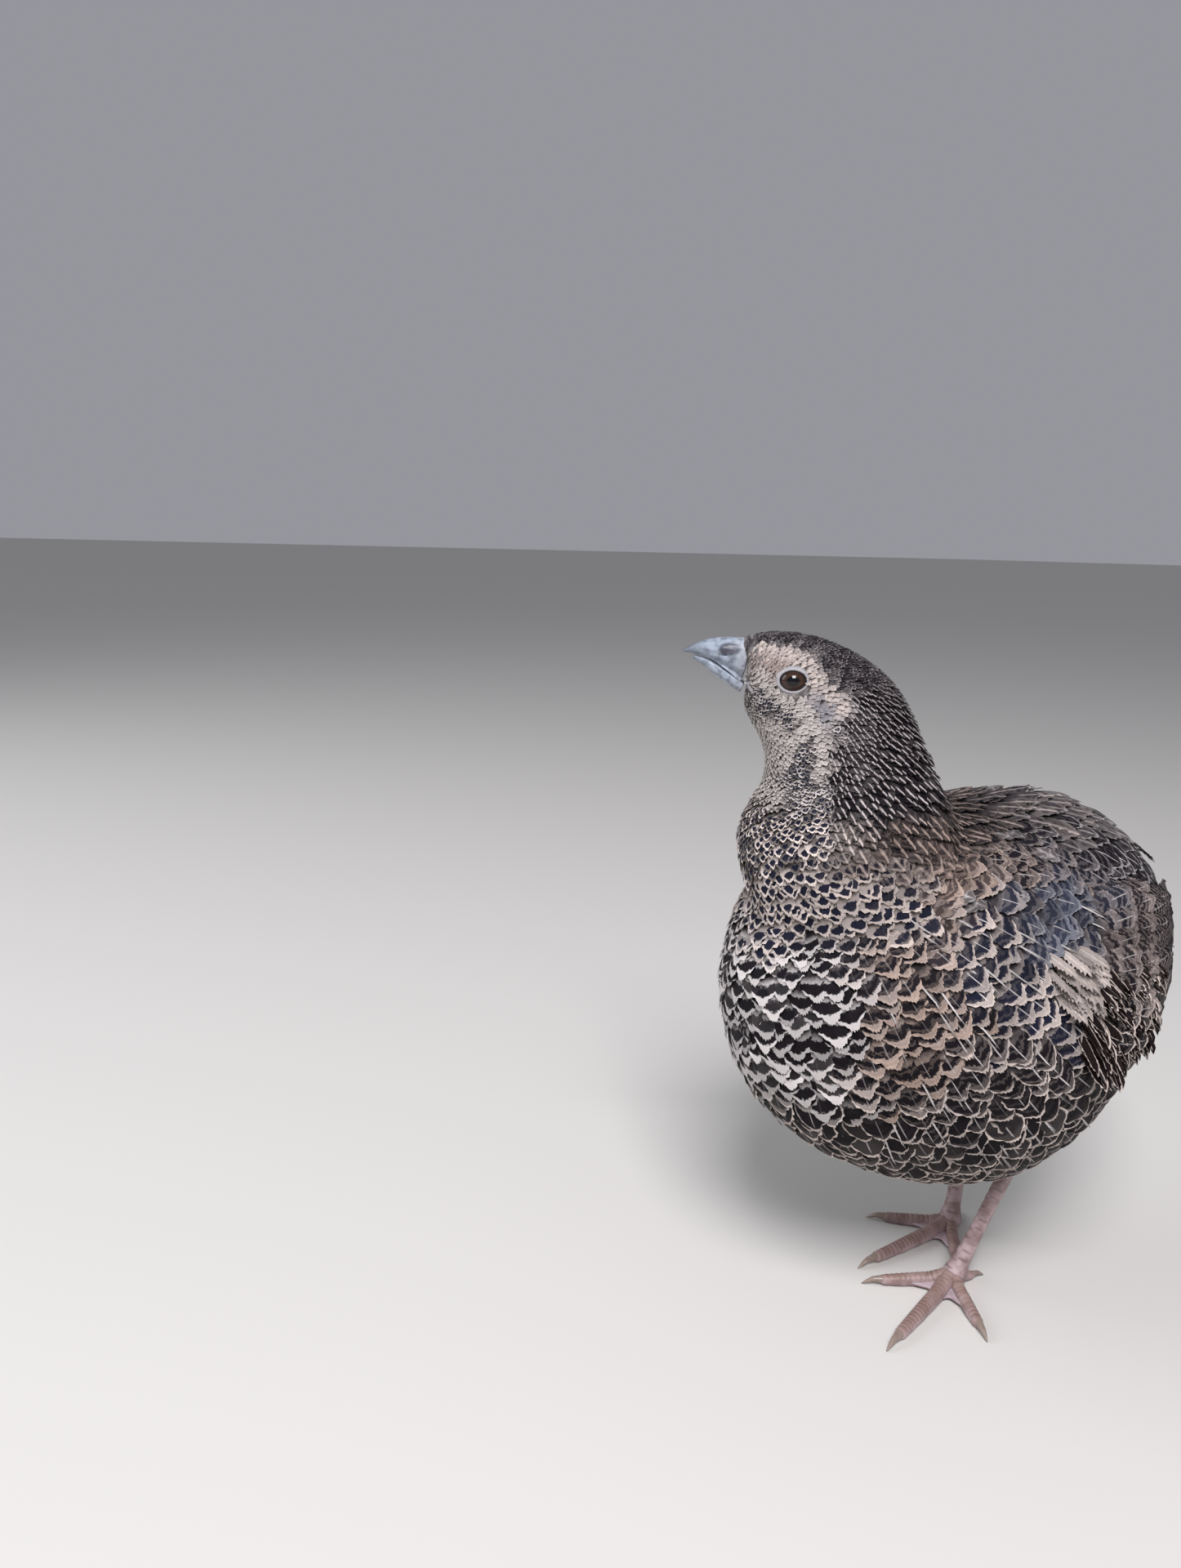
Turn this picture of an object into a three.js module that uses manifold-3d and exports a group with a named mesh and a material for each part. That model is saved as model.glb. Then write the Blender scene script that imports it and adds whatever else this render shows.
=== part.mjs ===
// A coturnix quail hen of a dark, barred colour, life size, standing with its head turned to its right.
// Millimetres, +Z up. The bird faces -Y and its left side is +X, so "forward" is measured along -Y.
// Each part of the bird is one closed mesh, and parts that touch keep a small gap.
import * as THREE from "three";
import { mergeVertices } from "three/addons/utils/BufferGeometryUtils.js";
import Module from "manifold-3d";

const wasm = await Module();
wasm.setup();

// Driving dimensions
const GAP = 0.3;
const degrees = THREE.MathUtils.degToRad;

// The feathered trunk, by how far forward each section lies of the point between the feet: the height
// of its middle, how far the back rises over it, how far the belly hangs under it, and half its width.
// The ends close as an ellipsoid does.
const TRUNK = [
  { forward: -59, middle: 85, back: 33.5, belly: 46, half: 28 },
  { forward: -27, middle: 80, back: 43, belly: 50.5, half: 38 },
  { forward: 4, middle: 75, back: 45, belly: 49.5, half: 42.5 },
  { forward: 35, middle: 78, back: 46, belly: 50.5, half: 44.5 },
  { forward: 67, middle: 78, back: 45, belly: 52, half: 41 },
];
const TRUNK_SIDES = 36;
const TRUNK_RINGS = 24;

// The head: the point of its midline between the eyes, and how far it is turned to the bird's right
const HEAD = { x: -8, forward: 51.5, height: 148.3, turned: degrees(38) };

// Sections of head and neck in the head's own upright plane, from the root of the bill down into the
// shoulders: forward of the eyes and up from them, how far the section leans, half its height and width
const NECK = [
  { forward: 12.8, up: 2.4, lean: 96, high: 5.8, wide: 3.9 },
  { forward: 8.4, up: 0, lean: 100, high: 9.8, wide: 7.6 },
  { forward: 2.4, up: -2.0, lean: 115, high: 12.6, wide: 10.4 },
  { forward: -3.7, up: -5.8, lean: 132, high: 15.1, wide: 12.6 },
  { forward: -8.4, up: -10.6, lean: 148, high: 16.9, wide: 14.4 },
  { forward: -11, up: -17.7, lean: 159, high: 18.3, wide: 16.6 },
  { forward: -12.2, up: -24.5, lean: 170, high: 20.8, wide: 20.5 },
  { forward: -14.2, up: -36, lean: 178, high: 25.2, wide: 25 },
  { forward: -19, up: -58, lean: 186, high: 25.5, wide: 22.5 },
];
const NECK_SIDES = 26;
const NECK_RINGS = 22;
const HEAD_CUT = { forward: -9.2, up: -13.6, lean: 153 }; // the plane where head and neck part
const NECK_CUT = { forward: -12.4, up: -28.5, lean: 170 }; // the plane where neck and trunk part

// The bill's two halves in the same plane, from root to tip
const UPPER_BILL = [
  { forward: 12.4, up: 4.2, lean: 96, high: 3.9, wide: 3.6 },
  { forward: 16.2, up: 5.0, lean: 96, high: 3.0, wide: 2.9 },
  { forward: 19.6, up: 5.4, lean: 98, high: 1.95, wide: 2.1 },
  { forward: 22.6, up: 5.1, lean: 104, high: 1.05, wide: 1.1 },
  { forward: 24.6, up: 4.4, lean: 110, high: 0.35, wide: 0.4 },
];
const LOWER_BILL = [
  { forward: 12.4, up: -1.3, lean: 112, high: 2.0, wide: 3.3 },
  { forward: 16.0, up: 0.6, lean: 112, high: 1.7, wide: 2.6 },
  { forward: 19.2, up: 2.5, lean: 114, high: 1.2, wide: 1.8 },
  { forward: 22.0, up: 3.6, lean: 116, high: 0.6, wide: 0.9 },
];
// The line of the mouth, from beyond the tip to its corner under the eye, and its depth in the cheek
const MOUTH = [
  { forward: 27, up: 4.4 },
  { forward: 22.6, up: 4.1 },
  { forward: 18.4, up: 3.0 },
  { forward: 14.6, up: 0.8 },
  { forward: 11.4, up: -1.4 },
  { forward: 8.8, up: -3.0 },
];
const MOUTH_DEPTH = 1.1;
const BILL_REACH = 8; // how far out the line of the mouth cuts the bill
const CHEEK_REACH = 14; // and the cheeks
// The flap over each nostril, and the slit under it
const NOSTRIL = { forward: 15, up: 5.4, out: 2.4, long: 1.9, high: 1.1, deep: 0.9 };
const SLIT = { forward: 15.4, up: 4.2, out: 3, long: 1.3, high: 0.35, deep: 0.8 };

// The eyes, and the rim of the lids round each
const EYE = { long: 3.05, high: 2.45, deep: 2.5, out: 8.9 };
const LIDS = { long: 3.55, high: 2.95, roll: 0.7, out: 10.1 };

// A feather in the solids is a thin vane. Neighbours lie like shingles, one long edge lifted over the next.
const VANE = { thick: 0.6, clear: 0.38, rows: 4 };
// Its outline follows a bow of a sine, between two shares of it, and its rows crowd towards the tip.
const OUTLINE = { from: 0.12, to: 0.92, full: 0.6, crowd: 1.4 };

// The folded wing lies on the side of the trunk. Angles are in degrees up from level.
const WING_REAR = -69; // where the wing's own surface would close, behind the rump
const SHOULDER = { front: 38, rear: 4, low: 2, high: 40, thick: 1.2, deep: 3 };
const LIFTED = 1.6; // a covert has risen to its full height before its tip by this factor
// Rows of feathers from the rump forward: how many, where the lowest and highest have root and tip,
// their width, and how far root and tip stand off the trunk
const WING_ROWS = [
  { count: 5, root: [[12, 0], [9, 14]], tip: [[-44, -4], [-50, 14]], wide: 6.4, off: [1.3, 2.3] },
  { count: 5, root: [[9, 19], [4, 40]], tip: [[-30, 19], [-34, 40]], wide: 9.4, off: [1.3, 2.4] },
  { count: 6, root: [[26, 1], [20, 39]], tip: [[-4, -3], [-8, 41]], wide: 10.5, off: [1.2, 5.0] },
  { count: 5, root: [[36, 5], [33, 36]], tip: [[16, -1], [8, 39]], wide: 11.5, off: [1.0, 5.0] },
];

// The tail droops from the rump along a bow in the bird's middle plane.
const TAIL_BOW = [
  { forward: -38, height: 98 },
  { forward: -50, height: 94.5 },
  { forward: -60, height: 87 },
  { forward: -65.5, height: 76 },
  { forward: -67, height: 63 },
];
// Rows from below: pairs of feathers, root and tip of the innermost and outermost pair along the bow,
// spacing at root and tip, width, and height over the bow
const TAIL_ROWS = [
  { pairs: 5, root: 10, tip: [46.5, 38], spacing: [1.6, 2.6], wide: 7.5, over: 0 },
  { pairs: 3, root: 6, tip: [33, 27], spacing: [2.6, 3.8], wide: 8.5, over: 2.4 },
];
const TAIL_PLUG = { forward: -52, height: 84, long: 12.5, wide: 10, high: 9.5, tilt: -55 };

// Legs: where each foot stands, how far it is turned outward, and the heel above it in the plumage
const LEGS = [
  { name: "left", side: 1, x: 13, forward: 9, turned: 21, heel: { x: 14.5, forward: -10, height: 36 } },
  { name: "right", side: -1, x: -5, forward: -8, turned: -5, heel: { x: -9, forward: -17, height: 40 } },
];
const FOOT = { height: 3.3, radius: 3.7, thick: 2.8 };
const SHANK = { foot: 2.2, waist: 1.7, heel: 2.4 };
// Toes by angle from the foot's axis, outward, with length, thickness and length of the claw
const TOES = [
  { name: "middle", angle: 0, length: 28, radius: 1.75, claw: 5.5 },
  { name: "inner", angle: -48, length: 17.5, radius: 1.6, claw: 4.5 },
  { name: "outer", angle: 46, length: 17, radius: 1.6, claw: 4.5 },
  { name: "hind", angle: 155, length: 7, radius: 1.2, claw: 3.2 },
];
// Along a toe: share of its length, height of its middle and share of its thickness
const TOE_LINE = [
  { at: 0, height: 3, share: 1 },
  { at: 0.3, height: 1.7, share: 1.02 },
  { at: 0.65, height: 1.35, share: 0.92 },
  { at: 1, height: 1.25, share: 0.72 },
];
const CLAW_LINE = [
  { at: 0, height: 1.35, share: 0.58 },
  { at: 0.55, height: 1.3, share: 0.4 },
  { at: 1, height: 0.35, share: 0.07 },
];
const WEB = { near: 3, reach: 10, hollow: 0.32, angle: 41, low: 0.5, thick: 0.8, slope: 0.9 };

// Colours, as the bird shows them
const COLOUR = {
  breast: 0xb9a48e,
  neck: 0x8b7d72,
  head: 0x9b8f88,
  wing: 0x5d5553,
  tail: 0x5a4d45,
  bill: 0x9aa3ab,
  eye: 0x1a100b,
  leg: 0xb48a80,
  claw: 0x8a7468,
};

// Solids: a geometry whose shared vertices are merged becomes a closed solid that faces out.
function solid(geometry) {
  const plain = new THREE.BufferGeometry();
  plain.setAttribute("position", geometry.getAttribute("position"));
  plain.setIndex(geometry.index);
  const merged = mergeVertices(plain, 1e-4);
  const triVerts = new Uint32Array(merged.index.array);
  const vertProperties = merged.attributes.position.array;
  const made = new wasm.Manifold(new wasm.Mesh({ numProp: 3, vertProperties, triVerts }));
  if (made.volume() > 0) return made;
  for (let i = 0; i < triVerts.length; i += 3) {
    [triVerts[i + 1], triVerts[i + 2]] = [triVerts[i + 2], triVerts[i + 1]];
  }
  return new wasm.Manifold(new wasm.Mesh({ numProp: 3, vertProperties, triVerts }));
}

// The largest closed surface of a solid, without scraps or sealed hollows
function largest(made) {
  return made.decompose().reduce((a, b) => (b.volume() > a.volume() ? b : a));
}

function geometryOf(made) {
  const { vertProperties, triVerts, numProp, numVert } = made.getMesh();
  const position = new Float32Array(numVert * 3);
  for (let i = 0; i < numVert; i++) {
    position.set(vertProperties.subarray(i * numProp, i * numProp + 3), i * 3);
  }
  const geometry = new THREE.BufferGeometry();
  geometry.setAttribute("position", new THREE.BufferAttribute(position, 3));
  geometry.setIndex(new THREE.BufferAttribute(triVerts, 1));
  return geometry;
}

// Moves each vertex of a geometry to where a function puts it.
function warp(geometry, place) {
  const position = geometry.getAttribute("position");
  const vertex = new THREE.Vector3();
  for (let i = 0; i < position.count; i++) {
    const { x, y, z } = place(vertex.fromBufferAttribute(position, i));
    position.setXYZ(i, x, y, z);
  }
  return geometry;
}

// Smooth values between stations, read at a running number
function smoothly(stations, at, keys) {
  const values = stations.flatMap((station) => keys.map((key) => station[key]));
  const between = new THREE.CubicInterpolant(stations.map(at), values, keys.length);
  return (t) => {
    const found = between.evaluate(t);
    return Object.fromEntries(keys.map((key, i) => [key, found[i]]));
  };
}

// A thin sheet with both faces split alike. Its plane runs across from -1 to 1 and along from 0 to 1,
// and a function puts each point of its upper (1) and lower (-1) face.
function sheet(columns, rows, place) {
  const plane = new THREE.PlaneGeometry(2, 1, columns, rows);
  const flat = plane.getAttribute("position");
  const points = [];
  for (const face of [1, -1]) {
    for (let i = 0; i < flat.count; i++) points.push(...place(flat.getX(i), 0.5 - flat.getY(i), face));
  }
  const upper = [...plane.index.array];
  const lower = upper.map((vertex) => vertex + flat.count).reverse();
  const rim = [];
  for (let i = 0; i < columns; i++) rim.push(i);
  for (let i = 0; i < rows; i++) rim.push(columns + i * (columns + 1));
  for (let i = columns; i > 0; i--) rim.push(rows * (columns + 1) + i);
  for (let i = rows; i > 0; i--) rim.push(i * (columns + 1));
  const edge = rim.flatMap((a, i) => {
    const b = rim[(i + 1) % rim.length];
    return [a, b, a + flat.count, b, b + flat.count, a + flat.count];
  });
  const geometry = new THREE.BufferGeometry();
  geometry.setAttribute("position", new THREE.Float32BufferAttribute(points, 3));
  geometry.setIndex([...upper, ...lower, ...edge]);
  return solid(geometry);
}

// A feather's outline: narrow at the root, full in the middle and round at the tip, where its rows of
// faces lie closer together
function vaneWidth(along) {
  const bow = THREE.MathUtils.lerp(OUTLINE.from, OUTLINE.to, along);
  return Math.sin(Math.PI * bow) ** OUTLINE.full;
}

function vaneRow(along) {
  return 1 - (1 - along) ** OUTLINE.crowd;
}

// A row of feathers that lie like shingles. A line gives, for a share of the row and a place along the
// feather, a point on the surface it lies on. The lift of one edge follows from the distance to the next.
function shingles(count, wide, line, place) {
  const step = 1 / (count - 1);
  const vanes = [];
  for (let i = 0; i < count; i++) {
    const part = i * step;
    const next = i < count - 1 ? part + step : part - step;
    vanes.push(
      sheet(1, VANE.rows, (across, along, face) => {
        const t = vaneRow(along);
        const half = 0.5 * wide * vaneWidth(t) * across;
        const spacing = line(part, t, 0).distanceTo(line(next, t, 0));
        const lift = (-half * (VANE.thick + VANE.clear)) / spacing;
        return place(part, t, half, lift + (face * VANE.thick) / 2);
      }),
    );
  }
  return vanes;
}

// Trunk
const trunkAt = smoothly(TRUNK, (station) => station.forward, ["middle", "back", "belly", "half"]);
const RUMP = TRUNK[0].forward;
const BREAST = TRUNK[TRUNK.length - 1].forward;
const TRUNK_MIDDLE = (BREAST + RUMP) / 2;
const TRUNK_HALF = (BREAST - RUMP) / 2;

function trunkSolid(grow = 0) {
  const ball = new THREE.SphereGeometry(1, TRUNK_SIDES, TRUNK_RINGS).rotateX(Math.PI / 2);
  return solid(
    warp(ball, ({ x, y, z }) => {
      const forward = TRUNK_MIDDLE - (TRUNK_HALF + grow) * y;
      const shape = trunkAt(THREE.MathUtils.clamp(forward, RUMP, BREAST));
      const rise = z > 0 ? shape.back : shape.belly;
      return new THREE.Vector3((shape.half + grow) * x, -forward, shape.middle + (rise + grow) * z);
    }),
  );
}

// A point on the side of the trunk, at an angle up from level and some way off its surface. Behind the
// middle it follows a longer body, as a folded wing runs on past the rump's curve.
function sidePoint(side, forward, angle, off) {
  const end = forward > TRUNK_MIDDLE ? BREAST : WING_REAR;
  const round = Math.sqrt(1 - ((forward - TRUNK_MIDDLE) / (end - TRUNK_MIDDLE)) ** 2);
  const shape = trunkAt(THREE.MathUtils.clamp(forward, RUMP, BREAST));
  const rise = angle > 0 ? shape.back : shape.belly;
  const x = (shape.half * round + off) * Math.cos(angle);
  return new THREE.Vector3(side * x, -forward, shape.middle + (rise * round + off) * Math.sin(angle));
}

// Head and neck share the head's upright plane. This puts a point of it into the bird's frame.
const AHEAD = new THREE.Vector3(-Math.sin(HEAD.turned), -Math.cos(HEAD.turned), 0);
const LEFT = new THREE.Vector3(Math.cos(HEAD.turned), -Math.sin(HEAD.turned), 0);
const UP = new THREE.Vector3(0, 0, 1);

function headPoint(forward, up, out = 0) {
  return new THREE.Vector3(HEAD.x, -HEAD.forward, HEAD.height)
    .addScaledVector(AHEAD, forward)
    .addScaledVector(UP, up)
    .addScaledVector(LEFT, out);
}

// A solid through oval sections in the head's plane
function sections(stations, sides, rings, grow = 0) {
  const keys = ["forward", "up", "lean", "high", "wide"];
  const at = smoothly(stations, (station) => stations.indexOf(station), keys);
  const tube = new THREE.CylinderGeometry(1, 1, 1, sides, rings);
  return solid(
    warp(tube, ({ x, y, z }) => {
      const shape = at((0.5 - y) * (stations.length - 1));
      const lean = degrees(shape.lean);
      const rise = (shape.high + grow) * z;
      const out = (shape.wide + grow) * x;
      return headPoint(shape.forward + rise * Math.cos(lean), shape.up + rise * Math.sin(lean), out);
    }),
  );
}

// A block that fills all on the upper (1) or lower (-1) side of a leaning plane
const BLOCK = 240;

function sideOf(cut, side) {
  const lean = degrees(cut.lean);
  const along = AHEAD.clone().multiplyScalar(Math.cos(lean)).addScaledVector(UP, Math.sin(lean));
  const across = LEFT.clone().cross(along).normalize();
  if (across.z * side < 0) across.negate();
  const centre = headPoint(cut.forward, cut.up).addScaledVector(across, (BLOCK + GAP) / 2);
  const turned = new THREE.Matrix4().makeBasis(LEFT, along, LEFT.clone().cross(along));
  return solid(new THREE.BoxGeometry(BLOCK, BLOCK, BLOCK).applyMatrix4(turned).translate(...centre));
}

// A ball with three radii, placed in the head's plane
function headBall({ forward = 0, up = 0, out, long, high, deep }, sides = 14, rings = 10) {
  const ball = new THREE.SphereGeometry(1, sides, rings).rotateX(Math.PI / 2);
  return solid(warp(ball, ({ x, y, z }) => headPoint(forward + long * x, up + high * y, out + deep * z)));
}

// The mouth's line as a thin blade across the head, reaching as far out on both sides
function mouthBlade(reach) {
  const curve = new THREE.SplineCurve(MOUTH.map(({ forward, up }) => new THREE.Vector2(forward, up)));
  const steps = curve.getPoints(12);
  const outline = [
    ...steps.map(({ x, y }) => new THREE.Vector2(x, y + GAP / 2)),
    ...steps.reverse().map(({ x, y }) => new THREE.Vector2(x, y - GAP / 2)),
  ];
  const shape = new THREE.Shape(outline);
  const blade = new THREE.ExtrudeGeometry(shape, { depth: 2 * reach, bevelEnabled: false });
  const plain = new THREE.BufferGeometry();
  plain.setAttribute("position", blade.getAttribute("position"));
  return solid(warp(mergeVertices(plain, 1e-4), ({ x, y, z }) => headPoint(x, y, z - reach)));
}

// A round limb through points with a radius at each, its underside flat where it meets the floor
function limb(points, sides, rings, grow = 0) {
  const spine = points.map(({ x, y, z }) => new THREE.Vector3(x, y, z));
  const path = new THREE.CatmullRomCurve3(spine, false, "centripetal");
  const radiusAt = smoothly(points, (point) => points.indexOf(point), ["radius"]);
  const tube = new THREE.CylinderGeometry(1, 1, 1, sides, rings);
  return solid(
    warp(tube, ({ x, y, z }) => {
      const along = path.getTangent(0.5 - y);
      const side = new THREE.Vector3(0, 0, 1).cross(along).normalize();
      const over = along.clone().cross(side);
      const radius = radiusAt((0.5 - y) * (points.length - 1)).radius + grow;
      const spot = path.getPoint(0.5 - y).addScaledVector(side, x * radius).addScaledVector(over, z * radius);
      return spot.setZ(Math.max(spot.z, -grow));
    }),
  );
}

// Trunk, neck and head are modelled whole, then parted by thin cuts.
const trunk = trunkSolid();
const trunkClear = trunkSolid(GAP);
const neckWhole = sections(NECK, NECK_SIDES, NECK_RINGS);
const torsoSolid = largest(neckWhole.intersect(sideOf(NECK_CUT, -1)).add(trunk));
const neckBelowHead = neckWhole.intersect(sideOf(HEAD_CUT, -1));
const neckSolid = neckBelowHead.intersect(sideOf(NECK_CUT, 1)).subtract(trunkClear);

// The head, with a socket and a rim of lids for each eye
let headSolid = neckWhole.intersect(sideOf(HEAD_CUT, 1));
const eyes = {};
for (const [name, side] of [["left", 1], ["right", -1]]) {
  const torus = new THREE.TorusGeometry(1, LIDS.roll / LIDS.high, 7, 18);
  const rim = warp(torus, ({ x, y, z }) => {
    return headPoint(LIDS.long * x, LIDS.high * y, side * LIDS.out + LIDS.high * z);
  });
  const { long, high, deep } = EYE;
  const out = side * EYE.out;
  const socket = headBall({ out, long: long + GAP, high: high + GAP, deep: deep + GAP });
  headSolid = headSolid.add(solid(rim)).subtract(socket);
  eyes[name] = headBall({ out, long, high, deep });
}

// The bill: both halves as one, with a flap over each nostril, parted along the line of the mouth
let bill = sections(UPPER_BILL, 12, 7).add(sections(LOWER_BILL, 10, 5));
for (const side of [1, -1]) {
  bill = bill.add(headBall({ ...NOSTRIL, out: side * NOSTRIL.out }, 8, 6));
  bill = bill.subtract(headBall({ ...SLIT, out: side * SLIT.out }, 6, 4));
}
bill = bill.subtract(mouthBlade(BILL_REACH)).subtract(sections(NECK, NECK_SIDES, NECK_RINGS, GAP));
const billHalves = bill.decompose().sort((a, b) => b.volume() - a.volume());
const underCheek = sections(NECK, NECK_SIDES, NECK_RINGS, -MOUTH_DEPTH);
headSolid = headSolid.subtract(mouthBlade(CHEEK_REACH).subtract(underCheek));

const TURN = 0.01; // the small angle over which the way round the body is measured

// Wings: a shoulder pad with rows of feathers rooted in it, the front ones lying over those behind
function wingSolid(side) {
  const { front, rear, low, high, thick, deep } = SHOULDER;
  let wing = sheet(5, 6, (across, along, face) => {
    const angle = THREE.MathUtils.lerp(low, high, 0.5 + 0.5 * across * vaneWidth(along));
    const forward = THREE.MathUtils.lerp(front, rear, along);
    return sidePoint(side, forward, degrees(angle), face > 0 ? thick : -deep);
  });
  for (const { count, root, tip, wide, off } of WING_ROWS) {
    const between = (ends, part, i) => THREE.MathUtils.lerp(ends[0][i], ends[1][i], part);
    const at = (part, t, half, rise) => {
      const forward = THREE.MathUtils.lerp(between(root, part, 0), between(tip, part, 0), t);
      const angle = degrees(THREE.MathUtils.lerp(between(root, part, 1), between(tip, part, 1), t));
      const here = sidePoint(side, forward, angle, 0);
      const around = sidePoint(side, forward, angle + TURN, 0).distanceTo(here) / TURN;
      const stand = THREE.MathUtils.lerp(off[0], off[1], Math.min(1, LIFTED * t));
      return sidePoint(side, forward, angle + half / around, stand + rise);
    };
    const line = (part, t) => at(part, t, 0, 0);
    for (const vane of shingles(count, wide, line, at)) wing = wing.add(vane);
  }
  return wing.subtract(trunkClear);
}

// The tail: feathers in pairs from the middle outward, each layer under the one inside it
const bow = new THREE.CatmullRomCurve3(
  TAIL_BOW.map(({ forward, height }) => new THREE.Vector3(0, -forward, height)),
  false,
  "centripetal",
);
const BOW_LENGTH = bow.getLength();

function tailPoint(along, across, over) {
  const t = THREE.MathUtils.clamp(along / BOW_LENGTH, 0, 1);
  const down = bow.getTangentAt(t);
  const normal = new THREE.Vector3(1, 0, 0).cross(down);
  if (normal.z + normal.y < 0) normal.negate();
  return bow.getPointAt(t).addScaledVector(normal, over).setX(across);
}

function tailSolid() {
  const { forward, height, long, wide, high, tilt } = TAIL_PLUG;
  const ball = new THREE.SphereGeometry(1, 14, 9).scale(wide, long, high).rotateX(degrees(tilt));
  let tail = solid(ball.translate(0, -forward, height));
  for (const { pairs, root, tip, spacing, wide: broad, over } of TAIL_ROWS) {
    for (let i = 0; i < 2 * pairs; i++) {
      const side = i % 2 === 0 ? 1 : -1;
      const pair = Math.floor(i / 2);
      const below = pair + (pair > 0 ? 1 : 0) + (side < 0 ? 1 : 0);
      const layer = over - (VANE.thick + VANE.clear) * below;
      const end = THREE.MathUtils.lerp(tip[0], tip[1], pair / (pairs - 1));
      tail = tail.add(
        sheet(1, VANE.rows, (across, along, face) => {
          const t = vaneRow(along);
          const line = side * (pair + 0.5) * THREE.MathUtils.lerp(spacing[0], spacing[1], t);
          const x = line + across * 0.5 * broad * vaneWidth(t);
          return tailPoint(THREE.MathUtils.lerp(root, end, t), x, layer + (face * VANE.thick) / 2);
        }),
      );
    }
  }
  return tail.subtract(trunkClear);
}

// Feet and shanks
function footPoint(leg, distance, angle, height, radius) {
  const turned = degrees(leg.turned + angle);
  return {
    x: leg.x + leg.side * distance * Math.sin(turned),
    y: -leg.forward - distance * Math.cos(turned),
    z: height,
    radius,
  };
}

function toeSolid(leg, { angle, length, radius }, grow = 0) {
  const points = TOE_LINE.map(({ at, height, share }) => {
    return footPoint(leg, at * length, angle, height, share * radius);
  });
  return limb(points, 8, 6, grow);
}

function clawSolid(leg, { angle, length, radius, claw }) {
  const points = CLAW_LINE.map(({ at, height, share }) => {
    return footPoint(leg, length + GAP + at * (claw - GAP), angle, height, share * radius);
  });
  return limb(points, 6, 4);
}

// The web fills the fork on each side of the middle toe's root, hollow at its front edges.
function webSolid(leg) {
  return sheet(6, 2, (across, along, face) => {
    const reach = WEB.reach * (1 - WEB.hollow * Math.abs(Math.sin(Math.PI * across)));
    const distance = THREE.MathUtils.lerp(WEB.near, reach, along);
    const height = WEB.low + (face > 0 ? WEB.thick : 0) + WEB.slope * (1 - along);
    const { x, y, z } = footPoint(leg, distance, WEB.angle * across, height, 0);
    return [x, y, z];
  });
}

function padSolid(leg, grow = 0) {
  const ball = new THREE.SphereGeometry(1, 14, 10);
  return solid(
    warp(ball, ({ x, y, z }) => {
      const radius = FOOT.radius + grow;
      const height = Math.max(FOOT.height + (FOOT.thick + grow) * z, -grow);
      return new THREE.Vector3(leg.x + radius * x, -leg.forward + radius * y, height);
    }),
  );
}

function shankSolid(leg) {
  const { x, forward, height } = leg.heel;
  const foot = new THREE.Vector3(leg.x, -leg.forward, FOOT.height);
  const heel = new THREE.Vector3(x, -forward, height);
  const points = [
    { ...foot, radius: SHANK.foot },
    { ...foot.clone().lerp(heel, 0.5), radius: SHANK.waist },
    { ...heel, radius: SHANK.heel },
  ];
  return limb(points, 10, 5).add(padSolid(leg)).subtract(trunkClear);
}

// Assembly, with the origin moved under the middle of the bird
const bird = new THREE.Group();

function add(name, made, colour, roughness = 0.9) {
  const material = new THREE.MeshStandardMaterial({ color: colour, roughness, metalness: 0 });
  const mesh = new THREE.Mesh(geometryOf(largest(made)), material);
  mesh.name = name;
  bird.add(mesh);
}

add("torso", torsoSolid, COLOUR.breast);
add("neck", neckSolid, COLOUR.neck);
add("head", headSolid, COLOUR.head);
add("bill_upper", billHalves[0], COLOUR.bill, 0.45);
add("bill_lower", billHalves[1], COLOUR.bill, 0.45);
add("eye_left", eyes.left, COLOUR.eye, 0.1);
add("eye_right", eyes.right, COLOUR.eye, 0.1);
add("wing_left", wingSolid(1), COLOUR.wing);
add("wing_right", wingSolid(-1), COLOUR.wing);
add("tail", tailSolid(), COLOUR.tail);
for (const leg of LEGS) {
  add(`shank_${leg.name}`, shankSolid(leg), COLOUR.leg, 0.6);
  const [middle, inner, outer] = TOES.map((toe) => toeSolid(leg, toe, GAP));
  const web = webSolid(leg).subtract(inner).subtract(outer);
  for (const toe of TOES) {
    const whole = toeSolid(leg, toe);
    const joined = toe.name === "middle" ? whole.add(web) : whole.subtract(middle);
    add(`toe_${toe.name}_${leg.name}`, joined.subtract(padSolid(leg, GAP)), COLOUR.leg, 0.6);
    add(`claw_${toe.name}_${leg.name}`, clawSolid(leg, toe), COLOUR.claw, 0.5);
  }
}

const box = new THREE.Box3().setFromObject(bird);
bird.position.set(-(box.min.x + box.max.x) / 2, -(box.min.y + box.max.y) / 2, -box.min.z);

export default bird;
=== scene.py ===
import math
from functools import partial

import bmesh
import bpy
import numpy as np
from mathutils import Matrix, Vector
from mathutils.bvhtree import BVHTree
from mathutils.kdtree import KDTree


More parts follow.
